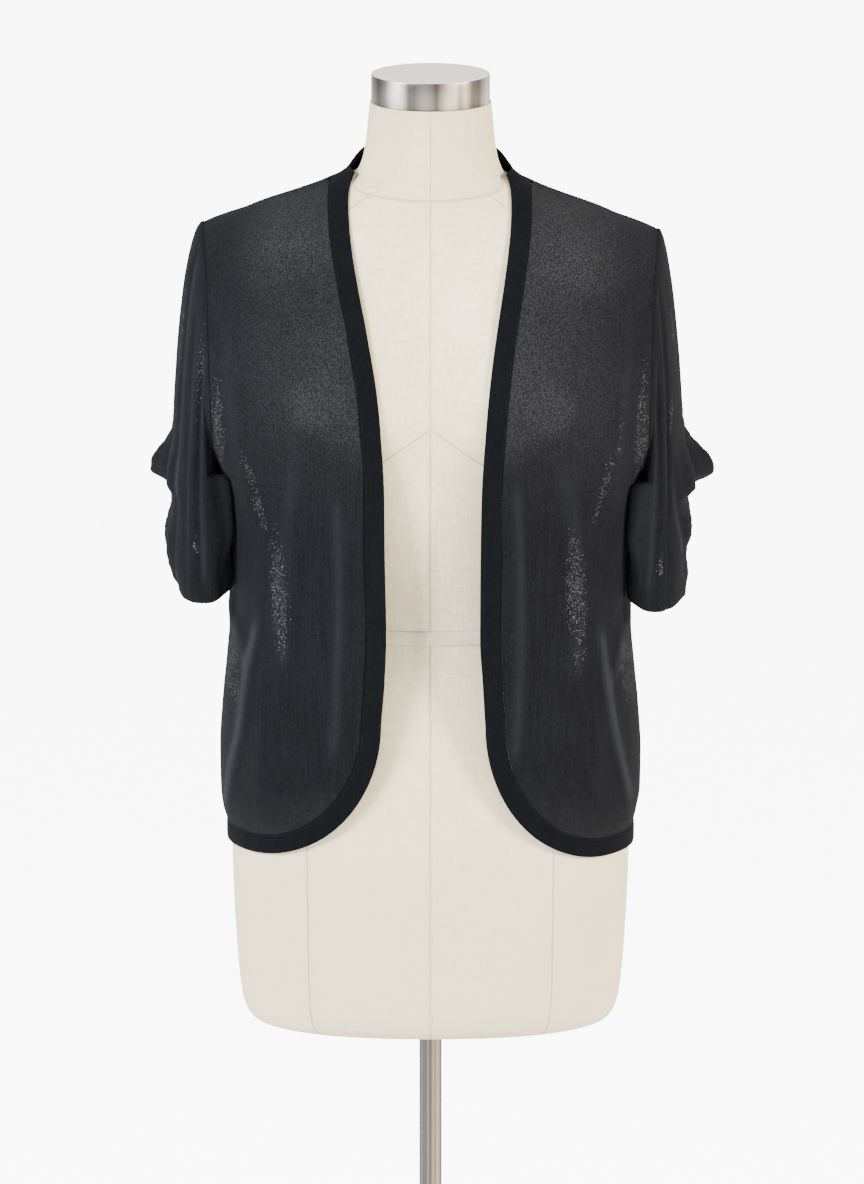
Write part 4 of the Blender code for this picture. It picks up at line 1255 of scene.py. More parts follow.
GATHERS = ("side height front_rise back_rise above below", [
    ("right", 1.1935, 0.0060, 0.0225, 0.025, 0.007),
    ("right", 1.1300, 0.0060, 0.0090, 0.024, 0.020),
    ("left", 1.2000, 0.0105, 0.0290, 0.026, 0.008),
    ("left", 1.1590, 0.0060, 0.0055, 0.015, 0.014),
    ("left", 1.1000, 0.0030, 0.0045, 0.012, 0.010),
])
GATHER_TURN = 20
GATHER_SPREAD = 16
GATHER_DROOP = 0.030
GATHER_FLAT = 0.0035
GATHER_SIDEWAYS = 0.030
GATHER_ENDWAYS = 0.25
SEAM_PULL = 0.0030
SEAM_SPREAD = 7
print("sleeve hem:", 2 * SLEEVE_HALF_DEPTH, "m from front to back")

# %% Where a sleeve starts and ends
@functools.cache
def armhole_point(angle):
    """Point and outward direction on the armhole; 0 to 180 runs down the front."""
    folded = angle % 360
    behind = folded > 180
    height = armhole_height(folded)
    turn = outer_turn(height, behind)
    return cloth_at(turn, height), cloth_normal(turn, height)


def sleeve_end(side, angle):
    radians = math.radians(angle)
    power = 2 / SLEEVE_ROUNDNESS
    wide = math.copysign(abs(math.cos(radians)) ** power, math.cos(radians))
    deep = math.copysign(abs(math.sin(radians)) ** power, math.sin(radians))
    down_turn = angle if angle <= 180 else 360 - angle
    return Vector((
        SLEEVE_MIDDLE[side] + SLEEVE_HALF_WIDTH * wide,
        -SLEEVE_HALF_DEPTH * deep,
        SLEEVE_HEM.read(side, down_turn),
    ))


print("outer seam:", round(armhole_point(0)[0].z - sleeve_end("right", 0).z, 3), "m long, about")

# %% The puffs of the gathered seam
def gather_lift(side, angle, height):
    """How far the gathered seam's puffs stand out here."""
    from_seam = angle if angle <= 180 else angle - 360
    droop = GATHER_DROOP * (abs(from_seam) / 90) ** 2
    lift = 0.0
    for puff in rows_of(GATHERS):
        if puff.side != side:
            continue
        rise = height + droop - puff.height
        tall = puff.above if rise > 0 else puff.below
        swell = math.exp(-((max(abs(rise) - GATHER_FLAT, 0.0) / tall) ** 2))
        front = math.exp(-(((from_seam - GATHER_TURN) / GATHER_SPREAD) ** 2))
        back = math.exp(-(((from_seam + GATHER_TURN) / GATHER_SPREAD) ** 2))
        seam = math.exp(-((from_seam / SEAM_SPREAD) ** 2))
        lift += swell * (puff.front_rise * front + puff.back_rise * back)
        lift -= swell * SEAM_PULL * seam
    return lift


highest = max(gather_lift("left", -GATHER_TURN, puff.height) for puff in rows_of(GATHERS))
print("highest puff:", round(1000 * highest, 1), "mm")

# %% A thread of the sleeve
ARMHOLE_STEP = 2
PUFFS_FROM = 0.3


def body_side(depth, height):
    """How far out the body's outside is, this far to the front (negative) or back of its side."""
    section = cloth_section(height)
    reach = (section.back if depth > 0 else section.front) + KNIT
    left = 1 - min(abs(depth) / reach, 1.0) ** section.roundness
    return (section.half_width + KNIT) * left ** (1 / section.roundness)


def sleeve_at(side, angle, share):
    """A point on the outside of the sleeve, from 0 at the armhole to 1 at the open end."""
    down_turn = angle if angle <= 180 else 360 - angle
    start, normal = armhole_point(angle)
    start = start + normal * KNIT
    before, _ = armhole_point(angle - ARMHOLE_STEP)
    after, _ = armhole_point(angle + ARMHOLE_STEP)
    leaving = normal.cross(after - before).normalized()
    inward = Vector((0.0, -start.y, armhole_height(90) - start.z))
    if leaving.dot(inward) < 0:
        leaving.negate()
    if down_turn > 90:
        leaving.z = min(leaving.z, 0.0)
    end = sleeve_end(side, angle)
    outer = (1 + math.cos(math.radians(angle))) / 2
    arriving = Vector((-SLEEVE_TUCK * outer, 0.0, -1.0))
    s = share
    point = (1 + 2 * s) * (1 - s) ** 2 * start + s * s * (3 - 2 * s) * end
    point += s * (1 - s) ** 2 * SLEEVE_FALL.read(side, down_turn) * leaving
    point += s * s * (s - 1) * SLEEVE_FALL.read("arriving", down_turn) * arriving
    if down_turn > 90 and point.z < UNDERARM:
        clear = SLEEVE_CLEAR * ease(share, 0.0, SLEEVE_CLEAR_BY)
        blend = SLEEVE_PRESS_BLEND * ease(share, 0.0, SLEEVE_CLEAR_BY)
        point.x = soft_max(point.x, body_side(point.y, point.z) + clear, blend)
    lift = gather_lift(side, angle, point.z) * ease(share, 0.0, PUFFS_FROM)
    out = point.x - SLEEVE_MIDDLE[side] + GATHER_SIDEWAYS
    outward = Vector((out, point.y * GATHER_ENDWAYS, 0.0)).normalized()
    return point + outward * lift


print("under the arm:", [round(value, 3) for value in sleeve_at("right", 180, 0.5)])

# %% [markdown]
# A hanging sleeve folds lengthwise, and the gathering thread ripples the cloth on both sides of the
# seam.  A cloth simulation would find folds of its own, but not the ones that this sleeve has, so
# they are placed here as soft ridges, each with its own turn, length, rise and width.

# %% Folds and ripples of a sleeve
# Lengthwise folds: turn from the outer seam and share of the length at both ends, rise and width
SLEEVE_FOLDS = ("side turn_top share_top turn_bottom share_bottom rise width", [
    ("right", 27, 0.10, 35, 0.80, 0.0036, 5.0),
    ("right", 86, 0.10, 90, 0.92, 0.0030, 6.0),
    ("right", 58, 0.22, 62, 0.90, 0.0020, 7.0),
    ("right", 112, 0.20, 120, 0.95, 0.0026, 10.0),
    ("right", 318, 0.12, 322, 0.85, 0.0030, 8.0),
    ("right", 276, 0.15, 270, 0.95, 0.0028, 11.0),
    ("left", 54, 0.10, 72, 0.64, 0.0036, 5.5),
    ("left", 57, 0.62, 18, 0.97, 0.0034, 5.5),
    ("left", 92, 0.15, 96, 0.92, 0.0028, 7.0),
    ("left", 106, 0.22, 114, 0.95, 0.0026, 10.0),
    ("left", 322, 0.12, 316, 0.90, 0.0030, 8.0),
    ("left", 282, 0.15, 276, 0.95, 0.0028, 11.0),
])
# The gathering thread: small ripples across the seam, how high and far apart, how far round, and
# between which heights they set in
RIPPLE_RISE = 0.0016
RIPPLE_STEP = 0.0115
RIPPLE_TURN = 26
RIPPLE_TOP = 1.2850
RIPPLE_FULL = 1.2300


def turn_gap(a, b):
    """Smallest turn between two directions round the sleeve."""
    return (a - b + 180) % 360 - 180


def sleeve_ridge(side, angle, share):
    """Rise of the lengthwise folds."""
    lift = 0.0
    for fold in rows_of(SLEEVE_FOLDS):
        if fold.side != side:
            continue
        t = clamp((share - fold.share_top) / (fold.share_bottom - fold.share_top))
        line = fold.turn_top + (fold.turn_bottom - fold.turn_top) * t
        fade = ease(share, fold.share_top - 0.08, fold.share_top + 0.12)
        fade *= 1 - 0.6 * ease(share, fold.share_bottom - 0.10, fold.share_bottom + 0.06)
        lift += fold.rise * fade * math.exp(-((turn_gap(angle, line) / fold.width) ** 2))
    return lift


def sleeve_lift(side, angle, share, point):
    lift = sleeve_ridge(side, angle, share)
    near = math.exp(-((turn_gap(angle, 0) / RIPPLE_TURN) ** 2))
    waver = noise.noise(Vector((point.z * 60, angle / 40, 3.0 if side == "left" else 7.0)))
    phase = 2 * math.pi * (point.z / RIPPLE_STEP + 0.9 * waver) + angle / 24
    amount = RIPPLE_RISE * near * ease(point.z, RIPPLE_TOP, RIPPLE_FULL)
    return lift + amount * (0.5 + 0.5 * math.sin(phase)) * (0.7 + 0.6 * waver)


print("folds of the sleeves:", len(SLEEVE_FOLDS[1]))

# %% Rows of a sleeve
SLEEVE_COLUMNS = 144
SLEEVE_ROWS = 150


def sleeve_shares():
    even = np.linspace(0.0, 1.0, SLEEVE_ROWS)
    return even ** 1.25 * 0.35 + even * 0.65


def sleeve_grid(side):
    angles = [360 * k / SLEEVE_COLUMNS for k in range(SLEEVE_COLUMNS)]
    rows = []
    for share in sleeve_shares():
        rows.append([sleeve_at(side, angle, float(share)) for angle in angles])
    return np.array(rows), angles


print("rows of a sleeve:", len(sleeve_shares()))

# %% Where a sleeve lies against the body
# Under the arm the sleeve lies against the body: how near, how far round and how far down
UNDERARM_NEAR = 0.0034
UNDERARM_ROUND = (50, 84)
UNDERARM_DOWN = (0.050, 0.095)
UNDERARM_STARTS = 0.045


def laid_on_body(points, angles):
    """Closes the wedge between the sleeve and the body's side, so that no light shows under the arm."""
    for c, angle in enumerate(angles):
        round_share = 1 - ease(abs(turn_gap(angle, 180)), *UNDERARM_ROUND)
        if round_share <= 0:
            continue
        for r, share in enumerate(sleeve_shares()):
            across, depth, height = points[r, c]
            gap = across - body_side(float(depth), float(height)) - UNDERARM_NEAR
            if height < UNDERARM and gap > 0:
                weight = round_share * ease(float(share), 0.0, UNDERARM_STARTS)
                weight *= 1 - ease(UNDERARM - float(height), *UNDERARM_DOWN)
                points[r, c, 0] = across - weight * gap
    return points


print("under the arm a sleeve lies", 1000 * UNDERARM_NEAR, "mm off the body")

# %% Sheer places of a sleeve
# Each place: turn, half its width in degrees, and the share of the length where it starts and ends
SHEER_SLEEVE = ("side turn half_turn share_top share_bottom strength", [
    ("right", 78, 7, 0.04, 0.40, 0.45),
    ("right", 136, 11, 0.08, 0.50, 0.85),
    ("right", 20, 4, 0.26, 0.46, 0.75),
    ("right", 80, 4, 0.73, 0.79, 0.90),
    ("left", 138, 11, 0.05, 0.42, 0.85),
    ("left", 27, 4, 0.27, 0.45, 0.75),
    ("left", 54, 6, 0.42, 0.50, 0.90),
    ("left", 84, 4, 0.76, 0.84, 0.80),
    ("right", 300, 9, 0.25, 0.70, 0.60),
    ("left", 298, 9, 0.25, 0.72, 0.60),
])


def sleeve_sheer(side, angles):
    mask = np.zeros((SLEEVE_ROWS, SLEEVE_COLUMNS))
    shares = sleeve_shares()
    for patch in rows_of(SHEER_SLEEVE):
        if patch.side != side:
            continue
        middle = (patch.share_top + patch.share_bottom) / 2
        half = (patch.share_bottom - patch.share_top) / 2
        for c, angle in enumerate(angles):
            gap = (turn_gap(angle, patch.turn) / patch.half_turn) ** 2
            gap = gap + ((shares - middle) / half) ** 2
            mask[:, c] = np.maximum(mask[:, c], patch.strength * np.clip(1.3 - gap, 0.0, 1.0))
    return mask


print("sheer places on the sleeves:", len(SHEER_SLEEVE[1]))

# %% Both sleeves
# The sleeve's edge is linked on just under the body's edge
SEAM_TUCK = 0.0008
SWELLS_FROM = 0.20
FOLDS_FROM = 0.06


def add_sleeve(side, seed):
    outside, angles = sleeve_grid(side)
    normals = grid_normals(outside, looped=True)
    middle = SLEEVE_ROWS // 2
    if normals[middle, 0, 0] < 0:
        normals = -normals
    first = np.array([armhole_point(angle)[1] for angle in angles])
    normals[0] = first
    lift = np.array([
        [sleeve_lift(side, angle, float(share), Vector(point)) for angle, point in zip(angles, row)]
        for share, row in zip(sleeve_shares(), outside)
    ])
    lift += swell(outside, seed) * np.minimum(1.0, sleeve_shares() / SWELLS_FROM)[:, None]
    start = np.minimum(1.0, sleeve_shares() / FOLDS_FROM)[:, None]
    points = outside + normals * (lift * start - KNIT / 2)[..., None]
    step = points[1] - points[0]
    step /= np.linalg.norm(step, axis=1)[:, None]
    points[0] -= step * SEAM_TUCK + first * SEAM_TUCK / 2
    points = leaned_points(laid_on_body(points, angles), side)
    sleeve = grid_object(f"sleeve_{side}_knit", points, looped=True, flip=side == "right")
    put_attribute(sleeve, "sheer", sleeve_sheer(side, angles))
    # The ridge number is the painted highlight along the sleeve's fold tops
    ridge_highlights = np.array([
        [sleeve_ridge(side, angle, float(share)) for angle in angles] for share in sleeve_shares()
    ])
    put_attribute(sleeve, "ridge", np.clip(ridge_highlights / RIDGE_HIGHLIGHT_FULL, 0.0, 1.0))
    finish_sheet(sleeve)
    return sleeve


sleeve_right = add_sleeve("right", 13.0)
sleeve_left = add_sleeve("left", 17.0)
sleeves = (sleeve_right, sleeve_left)
print("sleeves:", sum(len(piece.data.polygons) for piece in sleeves), "faces")

# %% [markdown]
# Each piece of cloth rides on the packed model's one body and takes the place of its own solid.  The
# pieces stay apart, as they were before they were sewn, so that a sleeve or a band can be changed
# alone.

# %% Where the pieces belong
CLOTH = [
    (front_right, "front_right", "knit"),
    (front_left, "front_left", "knit"),
    (back, "back", "knit"),
    (sleeve_right, "sleeve_right", "knit"),
    (sleeve_left, "sleeve_left", "knit"),
    (band_right, "band_right", "band_knit"),
    (band_left, "band_left", "band_knit"),
    (hem_band_back, "hem_band_back", "band_knit"),
]
for piece, node, slot in CLOTH:
    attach(piece, "root")
    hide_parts(node)
print("pieces of cloth:", len(CLOTH))

# %% [markdown]
# The tape round the waist is a narrow woven strip on the linen.  The neck cap, the pole and the foot
# plate are turned shapes: one outline, spun round.  They are made again here with more columns than
# the solids have, because a polished edge shows every flat.

# %% Waist tape
TAPE_PROFILE = [
    (0.0004, 0.0), (0.0013, 0.0004), (0.0016, 0.0012), (0.0015, 0.0066),
    (0.0016, 0.0121), (0.0013, 0.0129), (0.0004, 0.0133),
]
TAPE_INSIDE = 0.0003


def add_tape():
    bottom = TAPE_TOP - TAPE_HEIGHT
    rows = []
    for out, up in TAPE_PROFILE + [(TAPE_INSIDE, TAPE_HEIGHT / 2)]:
        rows.append([form_point(k, bottom + up, out) for k in range(FORM_COLUMNS)])
    rows.append(rows[0])
    points = np.array(rows)
    down = np.tile(lengths_along(points, 0)[:, :1], (1, FORM_COLUMNS))
    tape = grid_object("waist_tape_woven", points, looped=True, down=down)
    mend(tape, merge=1e-6)
    return tape


tape = add_tape()
print("tape:", len(tape.data.polygons), "faces")

# %% Turned steel
TURNED_COLUMNS = 128
ROUND_STEPS = 5


def rounded(radius, height, inner, outer, steps=ROUND_STEPS):
    """Points round a convex edge at (radius, height), from the side to the top."""
    marks = []
    for k in range(steps + 1):
        angle = math.pi / 2 * k / steps
        drawn_in, down = inner * (1 - math.cos(angle)), outer * (1 - math.sin(angle))
        marks.append((radius - drawn_in, height - down))
    return marks


def add_turned(name, outline):
    rows = []
    for radius, height in outline:
        turns = [2 * math.pi * k / TURNED_COLUMNS for k in range(TURNED_COLUMNS)]
        rows.append([(radius * math.cos(turn), radius * math.sin(turn), height) for turn in turns])
    points = np.array(rows)
    turned = grid_object(name, points, looped=True)
    mend(turned, columns=TURNED_COLUMNS)
    turned.data.set_sharp_from_angle(angle=SHARP_EDGE)
    return turned


CAP_BOTTOM = NECK_TOP + GAP
CAP_TOP = CAP_BOTTOM + CAP_HEIGHT
CAP_LIP = 0.0006
cap = add_turned("neck_cap_turned", [
    (CAP_RADIUS - CAP_LIP, CAP_BOTTOM),
    (CAP_RADIUS, CAP_BOTTOM + CAP_LIP),
    *rounded(CAP_RADIUS, CAP_TOP, CAP_BEVEL, CAP_BEVEL),
    (CAP_RADIUS - 0.010, CAP_TOP),
])
pole = add_turned("pole_turned", [(POLE_RADIUS, BASE_HEIGHT + GAP), (POLE_RADIUS, FORM_FOOT - GAP)])
base = add_turned("foot_plate_turned", [
    (BASE_RADIUS - BASE_BEVEL / 2, 0.0),
    (BASE_RADIUS, BASE_BEVEL / 2),
    *rounded(BASE_RADIUS, BASE_HEIGHT, BASE_BEVEL, BASE_BEVEL),
    (BASE_RADIUS - 0.030, BASE_HEIGHT),
])
STAND = [
    (tape, "waist_tape", "waist_tape_linen"),
    (cap, "neck_cap", "steel"),
    (pole, "pole", "steel"),
    (base, "base", "steel"),
]
for piece, node, slot in STAND:
    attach(piece, "root")
    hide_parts(node)
print("stand:", ", ".join(piece.name for piece, _, _ in STAND))

# %% [markdown]
# Finishes are made of a few shared groups of nodes.  Each group works out one effect as plain values,
# such as the height of the loops or where a stitch lies, and a material wires those values into its
# own shader.  A group is built once and placed with other numbers where it is needed again.

# %% Helpers for node groups
class Tree:
    """Short calls for adding and joining nodes."""

    def __init__(self, tree):
        self.tree = tree

    def add(self, kind, **settings):
        node = self.tree.nodes.new(kind)
        for key, value in settings.items():
            setattr(node, key, value)
        return node

    def join(self, value, socket):
        if isinstance(value, bpy.types.NodeSocket):
            self.tree.links.new(value, socket)
        else:
            socket.default_value = value

    def math(self, operation, *values):
        node = self.add("ShaderNodeMath", operation=operation)
        for value, socket in zip(values, node.inputs):
            self.join(value, socket)
        return node.outputs[0]

    def steps(self, value, low, high):
        """0 at low, 1 at high, smooth between."""
        node = self.add("ShaderNodeMapRange", interpolation_type="SMOOTHSTEP")
        self.join(value, node.inputs["Value"])
        self.join(low, node.inputs["From Min"])
        self.join(high, node.inputs["From Max"])
        return node.outputs["Result"]

    def noise(self, vector, scale, detail=2.0, dimensions="3D"):
        node = self.add("ShaderNodeTexNoise", noise_dimensions=dimensions)
        self.join(scale, node.inputs["Scale"])
        self.join(detail, node.inputs["Detail"])
        self.join(vector, node.inputs["W" if dimensions == "1D" else "Vector"])
        return node.outputs["Fac"]

    def drawn_out(self, place, scale):
        """The place with its axes scaled, so that a noise read there comes out as streaks."""
        node = self.add("ShaderNodeMapping")
        self.join(place, node.inputs["Vector"])
        node.inputs["Scale"].default_value = scale
        return node.outputs[0]

    def mix(self, amount, dark, light):
        node = self.add("ShaderNodeMix", data_type="RGBA")
        self.join(amount, node.inputs[0])
        for value, socket in ((dark, node.inputs[6]), (light, node.inputs[7])):
            self.join(value if isinstance(value, bpy.types.NodeSocket) else (*value, 1.0), socket)
        return node.outputs[2]


def new_group(name, inputs, outputs):
    group = bpy.data.node_groups.new(name, "ShaderNodeTree")
    for label, value in inputs:
        socket = group.interface.new_socket(
            name=label, in_out="INPUT", socket_type="NodeSocketFloat"
        )
        socket.default_value = value
    for label in outputs:
        group.interface.new_socket(name=label, in_out="OUTPUT", socket_type="NodeSocketFloat")
    tree = Tree(group)
    return group, tree, tree.add("NodeGroupInput").outputs, tree.add("NodeGroupOutput").inputs


def cloth_places(tree):
    """Texture coordinates as metres along and down the cloth."""
    source = tree.add("ShaderNodeTexCoord").outputs["UV"]
    parts = tree.add("ShaderNodeSeparateXYZ")
    tree.join(source, parts.inputs[0])
    return parts.outputs["X"], parts.outputs["Y"]


def object_places(tree):
    source = tree.add("ShaderNodeTexCoord").outputs["Object"]
    parts = tree.add("ShaderNodeSeparateXYZ")
    tree.join(source, parts.inputs[0])
    return source, parts.outputs["X"], parts.outputs["Y"], parts.outputs["Z"]


print("node helpers:", ", ".join(name for name in vars(Tree) if not name.startswith("_")))

# %% [markdown]
# Plain knit is rows of small V-shaped loops.  Each column of loops is a wale and each row a course,
# and here a wale is a little over a millimetre wide.  A loop is high along its legs and low between
# the wales, where light comes through.  Where the cloth is stretched more of those gaps open, and
# on the real piece they sparkle against the pale form, so a gap opens or not at random.  The open
# gaps are given as painted glints, and the loop height also serves as painted shade between loops.

# %% Group: fine knit
GRAIN_SCALE = 700.0
FLECK_SCALE = 900.0
GRAIN_DRAWN = (1.0, 1.0, 0.62)
RIB_SCALE = 430.0
RIB_DRAWN = (1.0, 1.0, 0.03)
PATCH_SCALE = 46.0
CLOUD_SCALE = 9.0
GAP_SCALE = 760.0
GAP_EDGE = (0.26, 0.50)
GAPS_OPEN = 0.80
GAP_WIDE = 2.2
GAP_CLEAR = 0.10
VEIL = 0.004
VEIL_SHEER = 0.006


def fine_knit_group():
    inputs = [("Wale", 0.0013), ("Course", 0.0010), ("Sheer", 0.0), ("Near form", 0.0)]
    outputs = ["Height", "Cover", "Tone", "Glint", "Through"]
    group, tree, given, result = new_group("fine_knit", inputs, outputs)
    along, down = cloth_places(tree)
    wales = tree.math("DIVIDE", along, given["Wale"])
    leg = tree.math("MULTIPLY", tree.math("PINGPONG", wales, 0.5), 2.0)
    courses = tree.math("DIVIDE", down, given["Course"])
    slant = tree.math("ADD", courses, tree.math("MULTIPLY", leg, 0.5))
    wave = tree.math("SINE", tree.math("MULTIPLY", slant, 2 * math.pi))
    loop = tree.math("MULTIPLY_ADD", wave, 0.5, 0.5)
    round_leg = tree.math("SINE", tree.math("MULTIPLY", leg, math.pi / 2))
    height = tree.math("MULTIPLY", tree.math("MULTIPLY_ADD", loop, 0.6, 0.4), round_leg)
    place, _, _, _ = object_places(tree)
    lengthened = tree.drawn_out(place, GRAIN_DRAWN)
    grain = tree.noise(lengthened, GRAIN_SCALE, 2.0)
    fleck = tree.noise(lengthened, FLECK_SCALE, 1.0)
    ribs = tree.noise(tree.drawn_out(place, RIB_DRAWN), RIB_SCALE, 1.0)
    patchy = tree.noise(place, PATCH_SCALE, 3.0)
    slow = tree.noise(place, CLOUD_SCALE, 2.0)
    cells = tree.add("ShaderNodeTexVoronoi")
    tree.join(place, cells.inputs["Vector"])
    cells.inputs["Scale"].default_value = GAP_SCALE
    chance = tree.add("ShaderNodeSeparateColor")
    tree.join(cells.outputs["Color"], chance.inputs[0])
    dot = tree.math("SUBTRACT", 1.0, tree.steps(cells.outputs["Distance"], *GAP_EDGE))
    # How many of the gaps are open: more of them where the cloth is stretched, in patches
    openness = tree.math("MULTIPLY", given["Sheer"], tree.steps(patchy, 0.22, 0.54))
    closed = tree.math("MULTIPLY_ADD", openness, -GAPS_OPEN, 1.0)
    open_gap = tree.math("GREATER_THAN", chance.outputs[0], closed)
    # Few of the gaps are wide, most are narrow, and their painted glint is only just lighter than the
    # yarn
    wide = tree.math("POWER", chance.outputs[1], GAP_WIDE)
    bright = tree.math("MULTIPLY_ADD", wide, 0.80, 0.20)
    spot = tree.math("MULTIPLY", tree.math("MULTIPLY", dot, open_gap), bright)
    gap = tree.math("MULTIPLY", spot, GAP_CLEAR)
    veil = tree.math("MULTIPLY_ADD", given["Sheer"], VEIL_SHEER, VEIL)
    tree.join(height, result["Height"])
    tree.join(tree.math("SUBTRACT", 1.0, tree.math("ADD", gap, veil)), result["Cover"])
    # Fine grain and upright ribs over slow cloudiness, as in yarn that takes the dye unevenly
    clouds = tree.math("MULTIPLY_ADD", slow, 0.12, tree.math("MULTIPLY", patchy, 0.10))
    grains = tree.math("MULTIPLY_ADD", grain, 0.54, tree.math("MULTIPLY", ribs, 0.24))
    tree.join(tree.math("ADD", clouds, grains), result["Tone"])
    # Through: painted light of the lit linen seen through the knit where it lies on the form
    pale = tree.math("MULTIPLY_ADD", tree.steps(fleck, 0.42, 0.64), 1.05, 0.30)
    cloudy = tree.math("MULTIPLY_ADD", tree.steps(slow, 0.2, 0.6), 0.5, 0.5)
    near = tree.math("MULTIPLY", given["Near form"], cloudy)
    tree.join(tree.math("MULTIPLY", near, pale), result["Through"])
    # Glint: painted light through the open gaps, which also open the cover a little
    tree.join(spot, result["Glint"])
    return group


FINE_KNIT = fine_knit_group()

# %% [markdown]
# The band is linked to the cloth with a row of loops, and its free edge is a fold.  Across its width
# the doubled knit shows closer, finer wales than the single cloth, and the linking is a fine line of
# short stitches beside the seam.

# %% Group: linked stitches along one edge
def stitch_group():
    inputs = [("Line", 0.0172), ("Half width", 0.0007), ("Stitch", 0.0026)]
    group, tree, given, result = new_group("linked_stitches", inputs, ["Mask", "Height"])
    across, down = cloth_places(tree)
    off = tree.math("ABSOLUTE", tree.math("SUBTRACT", across, given["Line"]))
    near = tree.math("DIVIDE", off, given["Half width"])
    row = tree.math("SUBTRACT", 1.0, tree.steps(near, 0.55, 1.0))
    along = tree.math("DIVIDE", down, given["Stitch"])
    beat = tree.math("MULTIPLY", tree.math("PINGPONG", along, 0.5), 2.0)
    mask = tree.math("MULTIPLY", row, tree.steps(beat, 0.18, 0.45))
    tree.join(mask, result["Mask"])
    dip = tree.math("SUBTRACT", 1.0, tree.steps(near, 0.8, 2.6))
    tree.join(tree.math("SUBTRACT", mask, tree.math("MULTIPLY", dip, 0.8)), result["Height"])
    return group


STITCHES = stitch_group()

# %% [markdown]
# The form's cover and the tape are plain linen: one thread over, one under, with thicker stretches
# called slubs.  An image of linen would tile and blur up close.  Two sine waves crossed, with a long
# noise for the slubs both ways, stay sharp at any distance.

# %% Group: plain weave
WEAVE_RADIUS = 0.16
SLUB_SCALE = 420.0
SLUB_UP = (1.0, 1.0, 0.12)
SLUB_ROUND = (0.12, 0.12, 1.0)


def weave_group():
    inputs = [("Thread", 0.0009), ("Unevenness", 1.0)]
    group, tree, given, result = new_group("plain_weave", inputs, ["Height", "Tone"])
    place, x, y, z = object_places(tree)
    turn = tree.math("ARCTAN2", y, x)
    round_form = tree.math("MULTIPLY", turn, WEAVE_RADIUS)
    waver = tree.math("MULTIPLY", tree.noise(place, 60.0, 2.0), 0.0016)
    across = tree.math("DIVIDE", tree.math("ADD", round_form, waver), given["Thread"])
    down = tree.math("DIVIDE", tree.math("ADD", z, waver), given["Thread"])
    warp = tree.math("SINE", tree.math("MULTIPLY", across, 2 * math.pi))
    weft = tree.math("SINE", tree.math("MULTIPLY", down, 2 * math.pi))
    height = tree.math("MULTIPLY_ADD", tree.math("MULTIPLY", warp, weft), 0.5, 0.5)
    slubs_up = tree.noise(tree.drawn_out(place, SLUB_UP), SLUB_SCALE, 2.0)
    slubs_round = tree.noise(tree.drawn_out(place, SLUB_ROUND), SLUB_SCALE, 2.0)
    slubs = tree.math("MULTIPLY", tree.math("ADD", slubs_up, slubs_round), 0.5)
    uneven = tree.math("MULTIPLY", tree.math("SUBTRACT", slubs, 0.5), given["Unevenness"])
    tree.join(tree.math("ADD", height, tree.math("MULTIPLY", uneven, 1.6)), result["Height"])
    cloudy = tree.noise(place, CLOUD_SCALE, 3.0)
    tree.join(tree.math("ADD", tree.math("MULTIPLY", uneven, 1.5), cloudy), result["Tone"])
    return group


WEAVE = weave_group()

# %% [markdown]
# The form's cover is cut in long panels.  A seam is a thin valley with a soft ridge on each side,
# where the allowances lie underneath.  The seams are placed by the turn round the form, which is
# laid out in the texture coordinates, and the seam over the bust is a shallow upside-down V.

# %% Group: seam of the form's cover
RIDGE_BESIDE = 3.0


def seam_group():
    inputs = [("Distance", 1.0), ("Half width", 0.0009)]
    group, tree, given, result = new_group("cover_seam", inputs, ["Valley", "Height"])
    near = tree.math("DIVIDE", tree.math("ABSOLUTE", given["Distance"]), given["Half width"])
    valley = tree.math("SUBTRACT", 1.0, tree.steps(near, 0.3, 1.2))
    beside = tree.math("ABSOLUTE", tree.math("SUBTRACT", near, RIDGE_BESIDE))
    ridge = tree.math("SUBTRACT", 1.0, tree.steps(beside, 0.5, 3.2))
    tree.join(valley, result["Valley"])
    tree.join(tree.math("SUBTRACT", tree.math("MULTIPLY", ridge, 0.35), valley), result["Height"])
    return group


COVER_SEAM = seam_group()

# %% [markdown]
# Brushed steel keeps the fine lines of the belt that ground it.  They run round the axis, so the
# noise that draws them is read on a very thin ring: it hardly changes along a line and changes fast
# from one line to the next.

# %% Group: brushed steel
LINE_RING = 0.004


def brushed_group():
    inputs = [("Lines", 5200.0), ("Streaks", 2.2)]
    group, tree, given, result = new_group("brushed_steel", inputs, ["Height", "Streak", "Wear", "Turn"])
    place, x, y, z = object_places(tree)
    turn = tree.math("ARCTAN2", y, x)
    ring = tree.add("ShaderNodeCombineXYZ")
    tree.join(tree.math("MULTIPLY", tree.math("COSINE", turn), LINE_RING), ring.inputs["X"])
    tree.join(tree.math("MULTIPLY", tree.math("SINE", turn), LINE_RING), ring.inputs["Y"])
    tree.join(z, ring.inputs["Z"])
    lines = tree.noise(ring.outputs[0], given["Lines"], 2.0)
    tree.join(lines, result["Height"])
    # Streak: upright bands round the axis, used as a faint painted reflection in the steel's colour
    spin = tree.add("ShaderNodeCombineXYZ")
    tree.join(tree.math("COSINE", turn), spin.inputs["X"])
    tree.join(tree.math("SINE", turn), spin.inputs["Y"])
    streak = tree.noise(spin.outputs[0], given["Streaks"], 3.0)
    tree.join(tree.steps(streak, 0.36, 0.64), result["Streak"])
    tree.join(tree.noise(place, 55.0, 4.0), result["Wear"])
    tree.join(tree.math("DIVIDE", turn, 2 * math.pi), result["Turn"])
    return group


BRUSHED = brushed_group()
groups = (FINE_KNIT, STITCHES, WEAVE, COVER_SEAM, BRUSHED)
print("groups:", ", ".join(group.name for group in groups))

